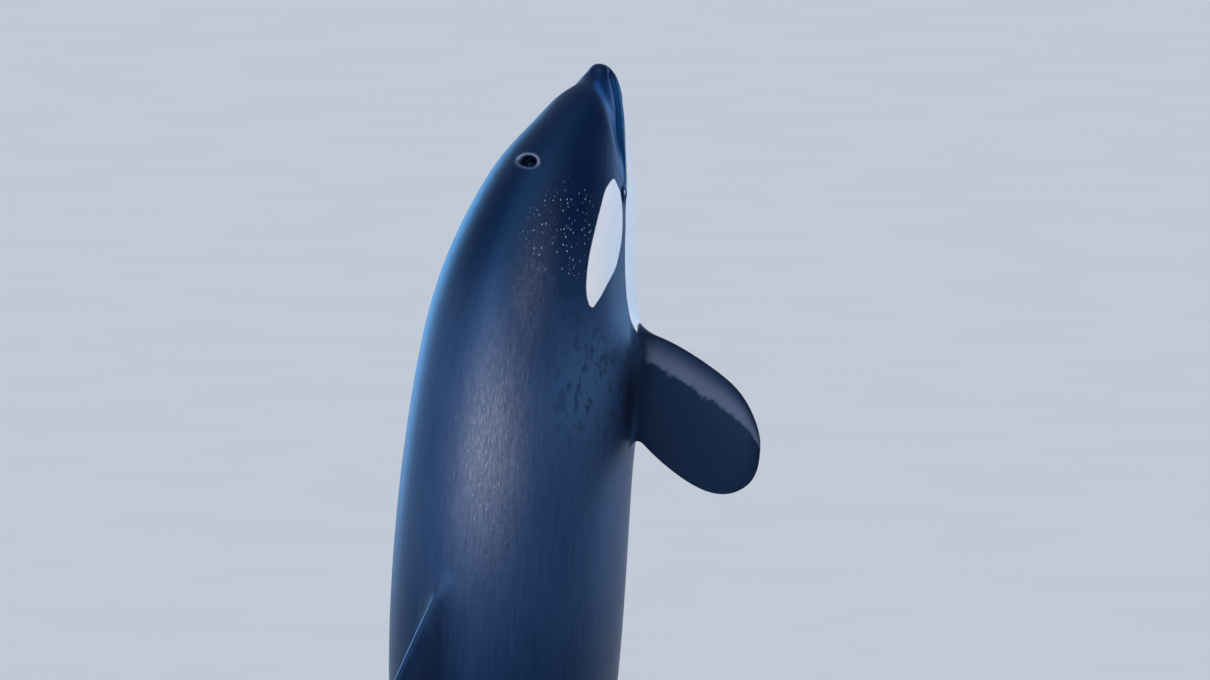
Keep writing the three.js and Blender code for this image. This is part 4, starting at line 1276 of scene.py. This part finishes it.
def paint_finish():
    """Satin dark grey paint with a fine orange-peel surface and a little dust."""
    f = Finish("base_paint")
    place = f.object_places()
    cloudy = f.grain(place, 3.0, 3.0)
    peel = f.grain(place, 420.0, 1.0)
    dust = f.grain(place, 1500.0, 1.0).step(0.62, 0.72)
    grey = f.blend(cloudy, PAINT_DARK, PAINT_LIGHT)
    f.set(Base_Color=f.blend(dust * 0.25, grey, DUST))
    f.set(Roughness=0.42 + cloudy * 0.18)
    f.raise_by(peel * 0.00012)
    return f.material


def steel_finish():
    """Brushed steel, its fine lines round the rods."""
    f = Finish("rod_steel")
    place = f.object_places()
    lines = f.grain(place, (30, 30, 1600))
    stain = f.grain(place, 9.0, 3.0)
    f.set(Base_Color=f.blend(lines, STEEL_DARK, STEEL_LIGHT), Metallic=1.0)
    f.set(Roughness=0.24 + lines * 0.16 + stain * 0.10)
    f.raise_by(lines * 0.00005)
    return f.material


def rubber_finish():
    """Matt black rubber sleeve with a fine grain."""
    f = Finish("sleeve_rubber")
    grain = f.grain(f.object_places(), 700.0, 2.0)
    f.set(Base_Color=f.blend(grain, RUBBER_DARK, RUBBER_LIGHT))
    f.set(Roughness=0.62 + grain * 0.2)
    f.raise_by(grain * 0.0002)
    return f.material


# Room

FLOOR_RADIUS = 600
FLOOR_TURNS = 96
FLOOR_DROP = 0.0005
WORLD_COLOUR = (0.50, 0.65, 0.86, 1)
WORLD_STRENGTH = 0.75
SUN = {"side": -25, "height": 55, "energy": 1.3, "softness": 40, "colour": (1.0, 0.95, 0.88)}
LAMP_SPREAD = 50
# Soft lamps: name, degrees round from the camera, degrees up, distance, size, watts, colour
LAMPS = [
    ("lamp_left", -150, 10, 12, 7, 56, (0.14, 0.50, 1.0)),
    ("lamp_front", -38, 20, 14, 12, 180, (0.92, 0.94, 1.0)),
    ("lamp_right", 122, 12, 12, 8, 78, (0.34, 0.62, 1.0)),
]
LAMP_TARGET = (0.15, -0.1, 4.6)


def floor_finish():
    """Matt pale floor with very broad, faint clouds."""
    f = Finish("floor_pale")
    mottle = f.grain(f.object_places(), 0.6, 3.0)
    f.set(Base_Color=f.blend(mottle, FLOOR_DARK, FLOOR_LIGHT), Roughness=0.9)
    return f.material


def add_room():
    disc = lathe([[FLOOR_RADIUS, -FLOOR_DROP]], FLOOR_TURNS)[0]
    floor = new_piece("floor", disc, [range(FLOOR_TURNS)], smooth=False)
    floor.data.materials.append(floor_finish())
    world = bpy.data.worlds.new("room")
    world.use_nodes = True
    background = world.node_tree.nodes["Background"]
    background.inputs["Color"].default_value = WORLD_COLOUR
    background.inputs["Strength"].default_value = WORLD_STRENGTH
    bpy.context.scene.world = world
    bpy.context.scene.view_settings.view_transform = "Standard"


def add_light(name, kind, facing, power, colour):
    """A sun or lamp whose light comes from the direction given."""
    data = bpy.data.lights.new(name, kind)
    data.energy = power
    data.color = colour
    return add_object(name, data, facing)


def add_lights():
    sun = add_light("sun", "SUN", towards(SUN["side"], SUN["height"]), SUN["energy"], SUN["colour"])
    sun.data.angle = np.radians(SUN["softness"])
    for name, side, height, distance, size, watts, colour in LAMPS:
        away = towards(side, height)
        lamp = add_light(name, "AREA", away, watts, colour)
        lamp.data.shape = "DISK"
        lamp.data.size = size
        lamp.data.spread = np.radians(LAMP_SPREAD)
        lamp.location = np.array(LAMP_TARGET) + away * distance
        lamp.visible_camera = False


add_camera()
add_skin()
add_eye("eyeball_left", 1)
add_eye("eyeball_right", -1)
add_stand()
add_room()
add_lights()
